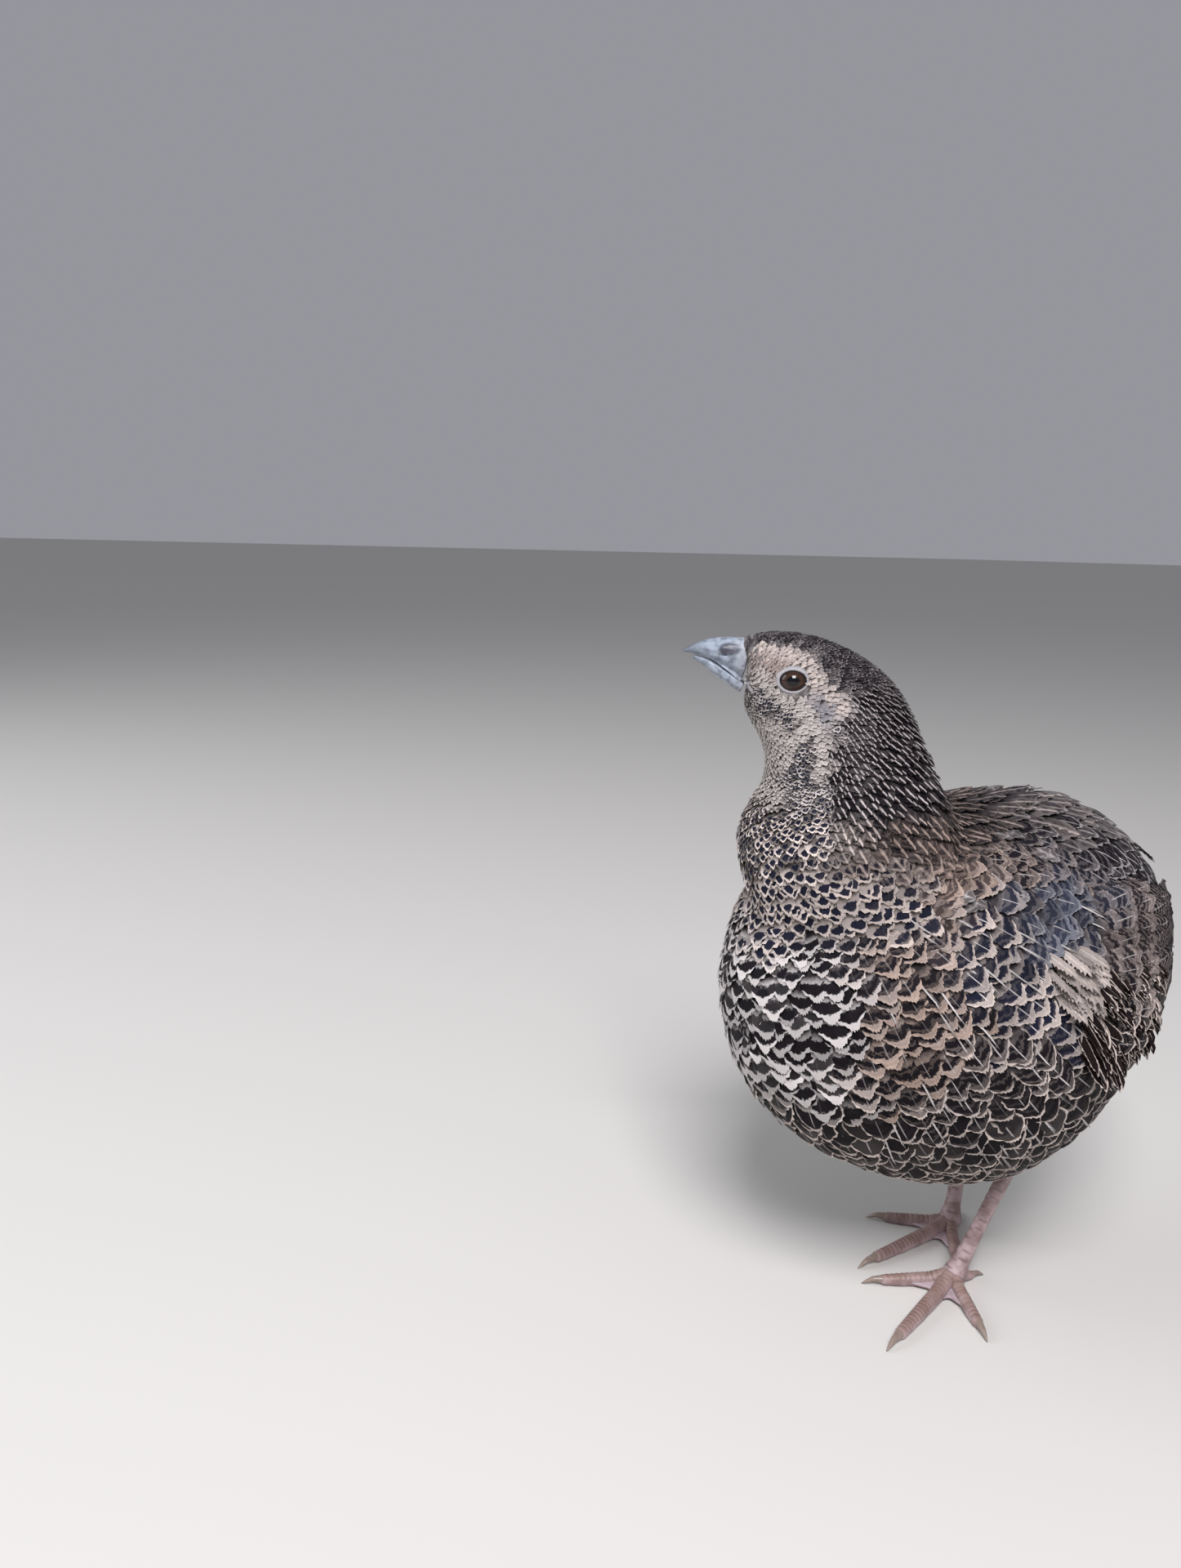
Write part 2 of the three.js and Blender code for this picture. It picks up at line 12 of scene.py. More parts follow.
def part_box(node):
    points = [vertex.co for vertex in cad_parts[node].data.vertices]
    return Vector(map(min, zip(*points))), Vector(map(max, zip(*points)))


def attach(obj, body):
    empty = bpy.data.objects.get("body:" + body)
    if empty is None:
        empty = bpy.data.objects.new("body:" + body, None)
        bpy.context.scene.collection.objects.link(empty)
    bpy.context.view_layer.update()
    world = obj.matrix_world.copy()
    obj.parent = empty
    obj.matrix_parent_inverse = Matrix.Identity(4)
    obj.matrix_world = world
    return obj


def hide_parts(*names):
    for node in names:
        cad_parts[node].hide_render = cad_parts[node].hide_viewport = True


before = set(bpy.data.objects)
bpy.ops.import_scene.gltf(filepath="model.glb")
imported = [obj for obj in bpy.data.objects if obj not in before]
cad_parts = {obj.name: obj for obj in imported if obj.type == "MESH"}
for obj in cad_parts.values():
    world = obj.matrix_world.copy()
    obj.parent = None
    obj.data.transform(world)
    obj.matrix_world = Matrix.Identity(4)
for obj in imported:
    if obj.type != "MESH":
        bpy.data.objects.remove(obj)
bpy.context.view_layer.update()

# The skin
# One skin covers trunk, neck and head without a seam. It is a thin hide that lies inside the plumage
# by the depth of the coat, and all body feathers are rooted in it. Lengths are in millimetres.
chance = np.random.default_rng(77)
MM = 0.001
SKIN_CELL = 0.9
SKIN_SWELL = 0.45
SKIN_ROUNDS = 8
FLESH = ("torso", "neck", "head")
BREAST_REACH = 67
HEAD_TURNED = math.radians(38)
torso_low = np.array(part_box("torso")[0]) / MM
ORIGIN_Y = torso_low[1] + BREAST_REACH
eye_boxes = [np.array(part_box(name)).mean(0) / MM for name in ("eye_left", "eye_right")]
HEAD_MIDDLE = (eye_boxes[0] + eye_boxes[1]) / 2
AHEAD = np.array([-math.sin(HEAD_TURNED), -math.cos(HEAD_TURNED), 0])
LEFT = np.array([math.cos(HEAD_TURNED), -math.sin(HEAD_TURNED), 0])
UP = np.array([0, 0, 1.0])
BILL_ROOT = HEAD_MIDDLE + 12.5 * AHEAD + 1.6 * UP


def unit(vectors):
    return vectors / np.maximum(np.linalg.norm(vectors, axis=-1, keepdims=True), 1e-9)


def head_point(forward, up, out):
    return HEAD_MIDDLE + forward * AHEAD + up * UP + out * LEFT


def in_head(points):
    away = points - HEAD_MIDDLE
    return away @ AHEAD, away @ UP, away @ LEFT


def forward_of(points):
    """How far points lie forward of the feet."""
    return ORIGIN_Y - points[:, 1]


def plateau(values, *corners):
    """Rises from 0 to 1 between the first two corners and falls back between the last two."""
    return np.interp(values, corners, [0, 1, 1, 0])


def new_piece(name, mesh, finish=None):
    piece = bpy.data.objects.new(name, mesh)
    bpy.context.scene.collection.objects.link(piece)
    mesh.shade_smooth()
    if finish:
        mesh.materials.append(finish)
    return piece


def mesh_from(bm, name):
    mesh = bpy.data.meshes.new(name)
    bm.to_mesh(mesh)
    bm.free()
    return mesh


def soften(bm, share):
    bmesh.ops.smooth_vert(
        bm, verts=bm.verts, factor=share, use_axis_x=True, use_axis_y=True, use_axis_z=True
    )


def remeshed(sources, cell, swell, rounds):
    """One closed surface round copies of CAD nodes, in millimetres: points, normals, faces."""
    joined = bmesh.new()
    for source in sources:
        copy = bmesh.new()
        copy.from_mesh(source.data)
        bmesh.ops.remove_doubles(copy, verts=copy.verts, dist=1e-6)
        bmesh.ops.recalc_face_normals(copy, faces=copy.faces)
        copy.normal_update()
        for vertex in copy.verts:
            vertex.co += vertex.normal * swell * MM
        whole = mesh_from(copy, "copy")
        joined.from_mesh(whole)
        bpy.data.meshes.remove(whole)
    piece = new_piece("joined", mesh_from(joined, "joined"))
    remesh = piece.modifiers.new("remesh", "REMESH")
    remesh.mode = "VOXEL"
    remesh.voxel_size = cell * MM
    made = piece.evaluated_get(bpy.context.evaluated_depsgraph_get()).to_mesh()
    bm = bmesh.new()
    bm.from_mesh(made)
    bpy.data.objects.remove(piece)
    for _ in range(rounds):
        soften(bm, 0.5)
    bm.normal_update()
    bm.verts.ensure_lookup_table()
    points = np.array([vertex.co for vertex in bm.verts]) / MM
    normals = np.array([vertex.normal for vertex in bm.verts])
    faces = [[vertex.index for vertex in face.verts] for face in bm.faces]
    bm.free()
    return points, normals, faces


class Surface:
    """A surface that feathers lie on: its nearest point, the normal there and the lie of the coat."""

    def __init__(self, points, normals, faces):
        self.points, self.normals, self.faces = points, normals, faces
        self.tree = BVHTree.FromPolygons(points.tolist(), faces)
        self.first = np.array([face[0] for face in faces])
        self.lie = np.zeros_like(points)

    def nearest(self, wanted):
        spots = np.empty_like(wanted)
        index = np.empty(len(wanted), int)
        for i, point in enumerate(wanted):
            spot, _, face, _ = self.tree.find_nearest(point)
            spots[i] = spot
            index[i] = self.first[face]
        return spots, index


# depth of the coat by the distance from the root of the bill
COAT_FROM = [4, 12, 22, 36, 50, 68, 90]
COAT_DEPTH = [0.15, 0.35, 0.6, 1.1, 1.6, 2.0, 2.2]


def coat_depth(points):
    return np.interp(np.linalg.norm(points - BILL_ROOT, axis=1), COAT_FROM, COAT_DEPTH)


swollen, skin_normals, skin_faces = remeshed(
    [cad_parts[name] for name in FLESH], SKIN_CELL, SKIN_SWELL, SKIN_ROUNDS
)
skin_points = swollen - skin_normals * (SKIN_SWELL + coat_depth(swollen))[:, None]
# The front of the face gives way to the root of the bill, and the throat is drawn in under its feathers.
FACE_BACK = 0.5
THROAT_BACK = 0.8
ahead, up, out = in_head(swollen)
blunt = FACE_BACK * np.clip(ahead - 8, 0, 9) * plateau(up, -8, -2, 4, 8)
drawn_in = THROAT_BACK * plateau(up, -26, -18, -4, 0) * np.interp(ahead, [0, 5], [0, 1])
skin_points -= (blunt + drawn_in)[:, None] * AHEAD
skin = Surface(skin_points, skin_normals, skin_faces)

# The lie of the coat is found as rows of feathers spread from the root of the bill over head, neck and
# trunk. A row's number counts how many rows lie before it, and feathers point to the higher numbers.
CHEEK = HEAD_MIDDLE + 5 * AHEAD - 2 * UP
ROW_FROM = [7, 12, 16, 21, 28, 34, 40, 48, 62, 80, 105]
ROW_PITCH = [0.7, 0.8, 0.88, 0.98, 1.12, 1.45, 2.0, 2.7, 3.3, 3.8, 4.3]
NEIGHBOURS = 26
STARTS_WITHIN = 5.5
UNREACHED = 1e6
MOST_PASSES = 400
EVENED = 6


def row_pitch(points):
    return np.interp(np.linalg.norm(points - CHEEK, axis=1), ROW_FROM, ROW_PITCH)


def spread_rows(points):
    tree = KDTree(len(points))
    for i, point in enumerate(points):
        tree.insert(point, i)
    tree.balance()
    near = np.array([[found[1] for found in tree.find_n(point, NEIGHBOURS)] for point in points])
    pitch = row_pitch(points)
    steps = np.linalg.norm(points[near] - points[:, None], axis=2) / ((pitch[near] + pitch[:, None]) / 2)
    reach = np.linalg.norm(points - BILL_ROOT, axis=1)
    rows = np.where(reach < STARTS_WITHIN, reach / pitch, UNREACHED)
    for _ in range(MOST_PASSES):
        closer = np.minimum(rows, (rows[near] + steps).min(1))
        if np.abs(closer - rows).max() < 1e-6:
            break
        rows = closer
    for _ in range(EVENED):
        rows = rows[near].mean(1)
    return rows, near


def along_surface(ways, normals):
    return unit(ways - (ways * normals).sum(1)[:, None] * normals)


skin_rows, skin_near = spread_rows(skin_points)
offsets = skin_points[skin_near] - skin_points[:, None]
slopes = (skin_rows[skin_near] - skin_rows[:, None])[..., None]
lie = (offsets * slopes / np.maximum((offsets**2).sum(2), 1e-3)[..., None]).sum(1)
lie = along_surface(lie, skin_normals)
# On the neck the feathers hang down more than the rows do.
DOWN_NECK = -0.94 * UP - 0.34 * AHEAD
ahead, up, out = in_head(skin_points)
hanging = (0.8 * plateau(up, -38, -30, -2, 6) * np.interp(ahead, [-6, 0], [1, 0.3]))[:, None]
lie = along_surface(unit(lie * (1 - hanging) + DOWN_NECK * hanging), skin_normals)
for _ in range(EVENED):
    lie = unit(lie[skin_near].mean(1))
skin.lie = lie

# The unwrap of the skin: the row from front to back, and the share of the way round the body.
EVEN_OVER = 7
MARGIN = 0.01
DORSAL = np.array([0, 0.6, 0.8])
row_centres = np.array(
    [skin_points[np.abs(skin_rows - row) < 1.5].mean(0) for row in range(int(skin_rows.max()) + 1)]
)
row_centres[:, 0] = np.convolve(
    np.pad(row_centres[:, 0], EVEN_OVER // 2, "edge"), np.ones(EVEN_OVER) / EVEN_OVER, "valid"
)


def unwrap(points, rows):
    index = np.clip(rows, 0, len(row_centres) - 1)
    whole = np.arange(len(row_centres))
    centre = np.stack([np.interp(index, whole, row_centres[:, k]) for k in range(3)], 1)
    away = points - centre
    around = np.arctan2(away[:, 0], away @ DORSAL) / (2 * math.pi) + 0.5
    return MARGIN + (1 - 2 * MARGIN) * np.stack([around, rows / skin_rows.max()], 1)


skin_uv = unwrap(skin_points, skin_rows)

# Colours of the plumage, and how they are laid out over the body. Each anchor is a place on one side of
# the bird with a way of marking, and both sides are marked alike. Places between anchors are blends.
CREAM = (0.50, 0.425, 0.385)
WHITE = (0.51, 0.475, 0.465)
BUFF = (0.385, 0.285, 0.235)
TAN = (0.30, 0.225, 0.19)
ROSE = (0.36, 0.275, 0.24)
GREY = (0.20, 0.185, 0.19)
LILAC = (0.235, 0.222, 0.245)
UMBER = (0.040, 0.028, 0.027)
SOOT = (0.007, 0.005, 0.007)
INK = (0.009, 0.010, 0.022)
# bluish near-black of the painted shade at the front of the folded wing
GAP_SHADE_DARK = (0.025, 0.028, 0.045)
# colour at the root of a vane: partly its grey down, partly painted shade where it lies under the row before
DOWN_AND_OVERLAP_SHADE = (0.028, 0.023, 0.026)
MARKS = ("bar", "scale", "spot", "streak", "mottle", "shaft")


def marking(pale, dark, **marks):
    return (*pale, *dark, *(marks.get(mark, 0.0) for mark in MARKS))


SPOTTED = marking(CREAM, INK, spot=1, bar=0.25)
BARRED = marking(WHITE, SOOT, bar=1)
SCALY = marking(BUFF, SOOT, bar=1, scale=0.25, mottle=0.14, shaft=0.3)
BLOTCHED = marking(CREAM, INK, bar=1, scale=0.25, mottle=0.07, shaft=1)
FLANKED = marking(CREAM, SOOT, scale=0.9, bar=0.5, mottle=0.12, shaft=1)
NETTED = marking(CREAM, SOOT, scale=1, shaft=0.5)
UNDERSIDE = marking(BUFF, UMBER, scale=0.8, mottle=0.3)
MANTLE = marking((0.27, 0.25, 0.255), SOOT, scale=1, mottle=0.08, shaft=0.9)
SHOULDERED = marking(TAN, SOOT, bar=1, scale=0.4, mottle=0.35, shaft=0.6)
RUMP = marking(GREY, SOOT, scale=0.9, mottle=0.35, shaft=0.6)
COLLARED = marking(TAN, SOOT, scale=0.8, mottle=0.3)
PEACHY = marking(BUFF, UMBER, bar=0.9, mottle=0.3)
# painted shade: bluish dark feathers standing for the shadowed gap between the flank feathers and the wing
# coverts
WING_GAP_SHADE = marking((0.175, 0.178, 0.205), GAP_SHADE_DARK, bar=0.9, scale=0.5, mottle=0.3, shaft=0.5)
COVERT = marking((0.22, 0.18, 0.168), SOOT, bar=0.9, mottle=0.45, shaft=0.6)

# out to the side, forward of the feet, height
BODY_ANCHORS = [
    (SPOTTED, [(0, 60, 108), (12, 58, 108), (22, 47, 108), (0, 64, 100)]),
    (BARRED, [(0, 67, 92), (0, 67, 76), (12, 63, 94), (14, 64, 74), (17, 59, 88), (18, 60, 70), (0, 65, 71),
              (12, 63, 70)]),
    (SCALY, [(26, 49, 99), (28, 51, 88), (29, 51, 77), (34, 44, 84)]),
    (PEACHY, [(22, 36, 113), (26, 42, 106)]),
    (BLOTCHED, [(30, 36, 103), (35, 34, 95), (38, 27, 91), (40, 22, 86)]),
    (FLANKED, [(38, 38, 80), (42, 28, 76), (43, 14, 76), (34, 46, 72)]),
    (NETTED, [(0, 61, 60), (13, 60, 61), (0, 56, 50), (22, 54, 58), (30, 44, 62), (38, 26, 64), (42, 4, 66),
              (36, -24, 64), (25, 30, 38), (26, 0, 38), (0, 40, 36)]),
    (UNDERSIDE, [(0, 10, 27)]),
    (NETTED, [(10, -10, 29), (20, -40, 48)]),
    (UNDERSIDE, [(0, -40, 42)]),
    (SHOULDERED, [(25, 20, 115), (32, 4, 108)]),
    (MANTLE, [(0, 10, 122), (14, -8, 119), (24, -20, 110), (0, -30, 117)]),
    # painted shade of the gap between flank feathers and wing coverts
    (WING_GAP_SHADE, [(30, 16, 107), (32, 6, 104), (32, 22, 103)]),
    (COVERT, [(40, -4, 92), (38, -20, 88), (34, -34, 84), (36, -8, 100)]),
    (RUMP, [(0, -52, 104), (18, -46, 98), (28, -34, 90), (0, -60, 76)]),
    (COLLARED, [(10, 34, 122), (20, 30, 117)]),
]

BROW = marking(CREAM, GREY, streak=0.15)
PALE_FACE = (0.50, 0.45, 0.425)
FACE = marking(PALE_FACE, UMBER, spot=0.25)
LORE = marking(ROSE, GREY, mottle=0.6)
CROWN = marking((0.26, 0.23, 0.235), SOOT, spot=0.9, streak=0.75)
EAR = marking(LILAC, GREY, streak=0.3)
WHISKER = marking(PALE_FACE, INK, spot=1, streak=0.3)
THROAT = marking(PALE_FACE, UMBER, spot=0.25)
NAPE = marking((0.42, 0.37, 0.36), SOOT, streak=1)
HIND_NECK = marking(TAN, SOOT, streak=0.9, mottle=0.15)
NECK_SIDE = marking(CREAM, SOOT, streak=0.85, mottle=0.15)
SPECKLED = marking(PALE_FACE, INK, spot=0.85, streak=0.2)

# forward of the eyes and up from them, seen from the side
HEAD_ANCHORS = [
    (BROW, [(9, 6.2), (6.5, 5.6), (2.8, 5.2), (-0.2, 4.4), (-3.4, 2.2), (-6.6, -1), (-8.8, -3.8),
            (0.5, 3.8)]),
    (CROWN, [(9, 8.8), (6.5, 8.6), (3, 8.1), (-1, 7), (-5, 4.5), (-8.4, 1.4), (3, 11), (-3, 9.5), (-9, 6.5),
             (-12.5, 1.5)]),
    (LORE, [(8.4, 4), (5.6, 3.2), (4.2, 1.8)]),
    (FACE, [(8, 0.6), (6, -1), (3.5, -2.6), (0, -4.6), (-2.6, -5)]),
    (EAR, [(-4.4, -3.4), (-5.8, -5.4), (-7, -4), (-5.6, -4.2)]),
    (FACE, [(-4.4, -8)]),
    (WHISKER, [(7.8, -2.4), (5.7, -4.2), (3.6, -6.2), (1.3, -7.7)]),
    (FACE, [(-1, -9.6)]),
    (WHISKER, [(-3, -12), (-2.4, -14.7), (-1.8, -17.5), (-0.2, -19.4)]),
    (THROAT, [(1.4, -11), (4, -8.5), (2.4, -15), (2.2, -22)]),
    (SPECKLED, [(-3, -23)]),
    (THROAT, [(-6, -11.5), (-6.2, -16)]),
    (SPECKLED, [(-6.4, -20.5)]),
    (SPOTTED, [(-5, -27), (2, -29)]),
    (SPECKLED, [(-8.6, -8)]),
    (NAPE, [(-14, -2.4), (-11, -6.8), (-9.6, -12), (-9.6, -17), (-10.4, -22), (-17, -12), (-19, -6),
            (-18, -20), (-25, -18)]),
    (NECK_SIDE, [(-12, -28)]),
    (HIND_NECK, [(-20, -27), (-30, -28), (-14, -33)]),
]
# how sharply one way of marking gives way to the next, and the height where head marks take over
BODY_SHARP = 5
HEAD_SHARP = 4.5
ANCHOR_SIZE = 0.4
NECK_END = -37
NECK_BLEND = 9


def nearest_marks(places, anchors, sharp):
    spots = np.array([spot for _, group in anchors for spot in group], float)
    values = np.array([value for value, group in anchors for _ in group])
    far = np.linalg.norm(places[:, None] - spots[None], axis=2)
    share = 1 / (far + ANCHOR_SIZE) ** sharp
    share /= share.sum(1, keepdims=True)
    return share @ values


def markings(points):
    body = np.stack([np.abs(points[:, 0]), forward_of(points), points[:, 2]], 1)
    ahead, up, out = in_head(points)
    near_middle = np.clip(5 - np.abs(out), 0, 5) * np.clip(up / 5, 0, 1)
    head = np.stack([ahead, up + 1.2 * near_middle], 1)
    of_head = np.clip((up - NECK_END) / NECK_BLEND, 0, 1)[:, None]
    of_head = of_head * of_head * (3 - 2 * of_head)
    on_body = nearest_marks(body, BODY_ANCHORS, BODY_SHARP)
    return on_body + (nearest_marks(head, HEAD_ANCHORS, HEAD_SHARP) - on_body) * of_head


# Node helpers for every finish
def feed(tree, socket, value):
    if isinstance(value, bpy.types.NodeSocket):
        tree.links.new(value, socket)
    else:
        socket.default_value = value


def calc(tree, operation, *values, clamp=False):
    made = tree.nodes.new("ShaderNodeMath")
    made.operation = operation
    made.use_clamp = clamp
    for socket, value in zip(made.inputs, values):
        feed(tree, socket, value)
    return made.outputs[0]


def blend(tree, share, a, b):
    made = tree.nodes.new("ShaderNodeMix")
    made.data_type = "RGBA"
    for place, value in ((0, share), (6, a), (7, b)):
        feed(tree, made.inputs[place], value)
    return made.outputs[2]


def rise(tree, value, low, high):
    made = tree.nodes.new("ShaderNodeMapRange")
    made.interpolation_type = "SMOOTHSTEP"
    for socket, given in zip(made.inputs, (value, low, high)):
        feed(tree, socket, given)
    return made.outputs[0]


def attribute(tree, name, output="Fac"):
    made = tree.nodes.new("ShaderNodeAttribute")
    made.attribute_name = name
    return made.outputs[output]


def noise(tree, scale, detail):
    made = tree.nodes.new("ShaderNodeTexNoise")
    made.inputs["Scale"].default_value = scale
    made.inputs["Detail"].default_value = detail
    place = tree.nodes.new("ShaderNodeTexCoord").outputs["Object"]
    tree.links.new(place, made.inputs["Vector"])
    return made.outputs["Fac"]


def bump(tree, shader, height, strength, distance):
    made = tree.nodes.new("ShaderNodeBump")
    made.inputs["Strength"].default_value = strength
    made.inputs["Distance"].default_value = distance
    tree.links.new(height, made.inputs["Height"])
    tree.links.new(made.outputs["Normal"], shader.inputs["Normal"])


def finish_of(name, roughness, **more):
    made = bpy.data.materials.new(name)
    made.use_nodes = True
    shader = made.node_tree.nodes["Principled BSDF"]
    for word, value in {"Roughness": roughness, **more}.items():
        shader.inputs[word.replace("_", " ")].default_value = value
    return made, made.node_tree, shader


HIDE = (0.03, 0.024, 0.024, 1)
hide, tree, shader = finish_of("hide_under_the_coat", 0.8)
patches = rise(tree, noise(tree, 420, 3), 0.38, 0.62)
tone = blend(tree, patches, attribute(tree, "pale", "Color"), attribute(tree, "dark", "Color"))
feed(tree, shader.inputs["Base Color"], blend(tree, 0.5, tone, HIDE))
bump(tree, shader, noise(tree, 900, 3), 0.4, 0.0004)


def paint(mesh, name, values, kind="FLOAT_COLOR"):
    layer = mesh.attributes.new(name, kind, "POINT")
    if kind == "FLOAT_COLOR":
        values = np.concatenate([values, np.ones((len(values), 1))], 1)
        layer.data.foreach_set("color", values.astype(np.float32).ravel())
    else:
        layer.data.foreach_set("value", values.astype(np.float32))


def map_uv(mesh, name, uv):
    corners = np.empty(len(mesh.loops), np.int32)
    mesh.loops.foreach_get("vertex_index", corners)
    layer = mesh.uv_layers.new(name=name)
    layer.data.foreach_set("uv", uv[corners].astype(np.float32).ravel())


skin_mesh = bpy.data.meshes.new("skin")
skin_mesh.from_pydata((skin_points * MM).tolist(), [], skin_faces)
skin_marks = markings(skin_points)
paint(skin_mesh, "pale", skin_marks[:, :3])
paint(skin_mesh, "dark", skin_marks[:, 3:6])
map_uv(skin_mesh, "OFBake", skin_uv)
skin_piece = new_piece("skin", skin_mesh, hide)
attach(skin_piece, "root")
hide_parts(*FLESH)

# The feathers of head, neck and body
# Each is a thin horn vane, arched over its shaft and frayed into barbs at its edge. Its root is set
# in the skin, and the rows overlap like shingles, smallest on the face and largest on the belly.
plumage, tree, shader = finish_of("plumage", 0.55, Specular_IOR_Level=0.08)
less, times, scaled, power, ratio = (
    partial(calc, tree, way) for way in ("SUBTRACT", "MULTIPLY", "MULTIPLY_ADD", "POWER", "DIVIDE")
)
rising, carried = partial(rise, tree), partial(attribute, tree)
# where the marks lie, as shares of the length or the half width of a vane, each with its soft edges
TIP_BAR = (0.62, 0.865, 0.022)
MIDDLE_BAR = (0.30, 0.47, 0.03)
RIM_EDGE = (0.03, 0.11)
SPOT_AT, SPOT_LONG, SPOT_WIDE = 0.79, 0.14, 0.64
SPOT_EDGE = (0.75, 1.15)
STREAK_EDGE = (0.08, 0.22)
MOTTLE_EDGE = (-0.7, -0.2)
SHAFT_SHOWS = (0.55, 0.93, 0.05)
DOWN_AND_SHADE_EDGE = (-0.12, 0.13)
BARBS = 210.0


def apart(value):
    made = plumage.node_tree.nodes.new("ShaderNodeSeparateXYZ")
    plumage.node_tree.links.new(value, made.inputs[0])
    return made.outputs


def band(value, low, high, soft):
    into = rising(value, low - soft, low + soft)
    out_of = rising(value, high - soft, high + soft)
    return less(into, out_of, clamp=True)


uv = tree.nodes.new("ShaderNodeUVMap")
uv.uv_map = "vane"
from_side, from_root, _ = apart(uv.outputs["UV"])
rough_edge = less(noise(tree, 1500, 2), 0.5)
wobble = times(rough_edge, carried("wobble"))
across = calc(tree, "ABSOLUTE", scaled(from_side, 2.0, -1.0))
along = calc(tree, "ADD", wobble, from_root)
bowed = scaled(times(across, across), 0.07, along)
own = carried("own")
shifted = scaled(less(own, 0.5), 0.09, bowed)
bars = calc(tree, "MAXIMUM", band(shifted, *TIP_BAR), band(shifted, *MIDDLE_BAR))
scales = rising(scaled(rough_edge, 0.12, carried("rim")), *RIM_EDGE)
over = power(ratio(across, SPOT_WIDE), 2.0)
down = power(calc(tree, "ABSOLUTE", ratio(less(along, SPOT_AT), SPOT_LONG)), 2.0)
spots = less(1.0, rising(calc(tree, "ADD", over, down), *SPOT_EDGE))
streaks = rising(scaled(rough_edge, 0.22, across), *STREAK_EDGE)
turns = scaled(across, 2.4, times(shifted, carried("turns")))
mottles = rising(calc(tree, "SINE", scaled(noise(tree, 600, 3), 8.0, turns)), *MOTTLE_EDGE)
shafts = times(calc(tree, "LESS_THAN", across, scaled(own, 0.035, 0.01)), rising(own, 0.15, 0.5))
shafts = times(shafts, band(shifted, *SHAFT_SHOWS))
bar, scale, spot = apart(carried("marks_a", "Color"))
streak, mottle, shaft = apart(carried("marks_b", "Color"))
amount = scaled(scales, scale, times(bars, bar))
amount = scaled(spots, spot, amount)
amount = scaled(streaks, streak, amount, clamp=True)
broken = times(less(mottles, amount), mottle)
amount = calc(tree, "ADD", amount, broken, clamp=True)
tone = blend(tree, amount, carried("pale", "Color"), carried("dark", "Color"))
# The root part of each vane is darkened: partly the grey down at the feather's base, partly painted shade
# where it lies under the tips of the row before.
root_down_and_shade = rising(less(carried("down_and_shade_share"), shifted), *DOWN_AND_SHADE_EDGE)
tone = blend(tree, times(root_down_and_shade, 0.85), tone, (*DOWN_AND_OVERLAP_SHADE, 1))
tone = blend(tree, times(times(shafts, shaft), 0.85), tone, (*WHITE, 1))
barb_line = calc(tree, "SINE", times(less(from_root, times(across, 0.22)), BARBS))
shade_of = tree.nodes.new("ShaderNodeHueSaturation")
feed(tree, shade_of.inputs["Value"], scaled(own, 0.5, scaled(barb_line, 0.07, 0.72)))
feed(tree, shade_of.inputs["Color"], tone)
tree.links.new(shade_of.outputs["Color"], shader.inputs["Base Color"])
bump(tree, shader, barb_line, 0.35, 0.00006)
WIDE_FROM = 0.4
ROUND_FROM = 0.72


def outline(t):
    """The width of a vane along its length: it widens from the root and is rounded at the tip."""
    widens = np.where(t < WIDE_FROM, 0.42 + 0.58 * np.sin(np.pi / 2 * t / WIDE_FROM), 1)
    to_tip = (t - ROUND_FROM) / (1 - ROUND_FROM)
    return widens * np.where(to_tip > 0, np.sqrt(np.clip(1 - 0.72 * to_tip**2, 0, 1)), 1)


def vane_faces(columns, rows):
    """Quads of one vane, and the edges of its rim that end in barbs."""
    def at(row, column):
        return row * (columns + 1) + column

    quads = [
        (at(j, i), at(j, i + 1), at(j + 1, i + 1), at(j + 1, i)) for j in range(rows) for i in range(columns)
    ]
    start = rows // 3
    edges = [(at(j, 0), at(j + 1, 0), -1) for j in range(start, rows)]
    edges += [(at(rows, i), at(rows, i + 1), 0) for i in range(columns)]
    edges += [(at(j + 1, columns), at(j, columns), 1) for j in range(rows - 1, start - 1, -1)]
    return quads, edges


KEEPS_COURSE = 0.6


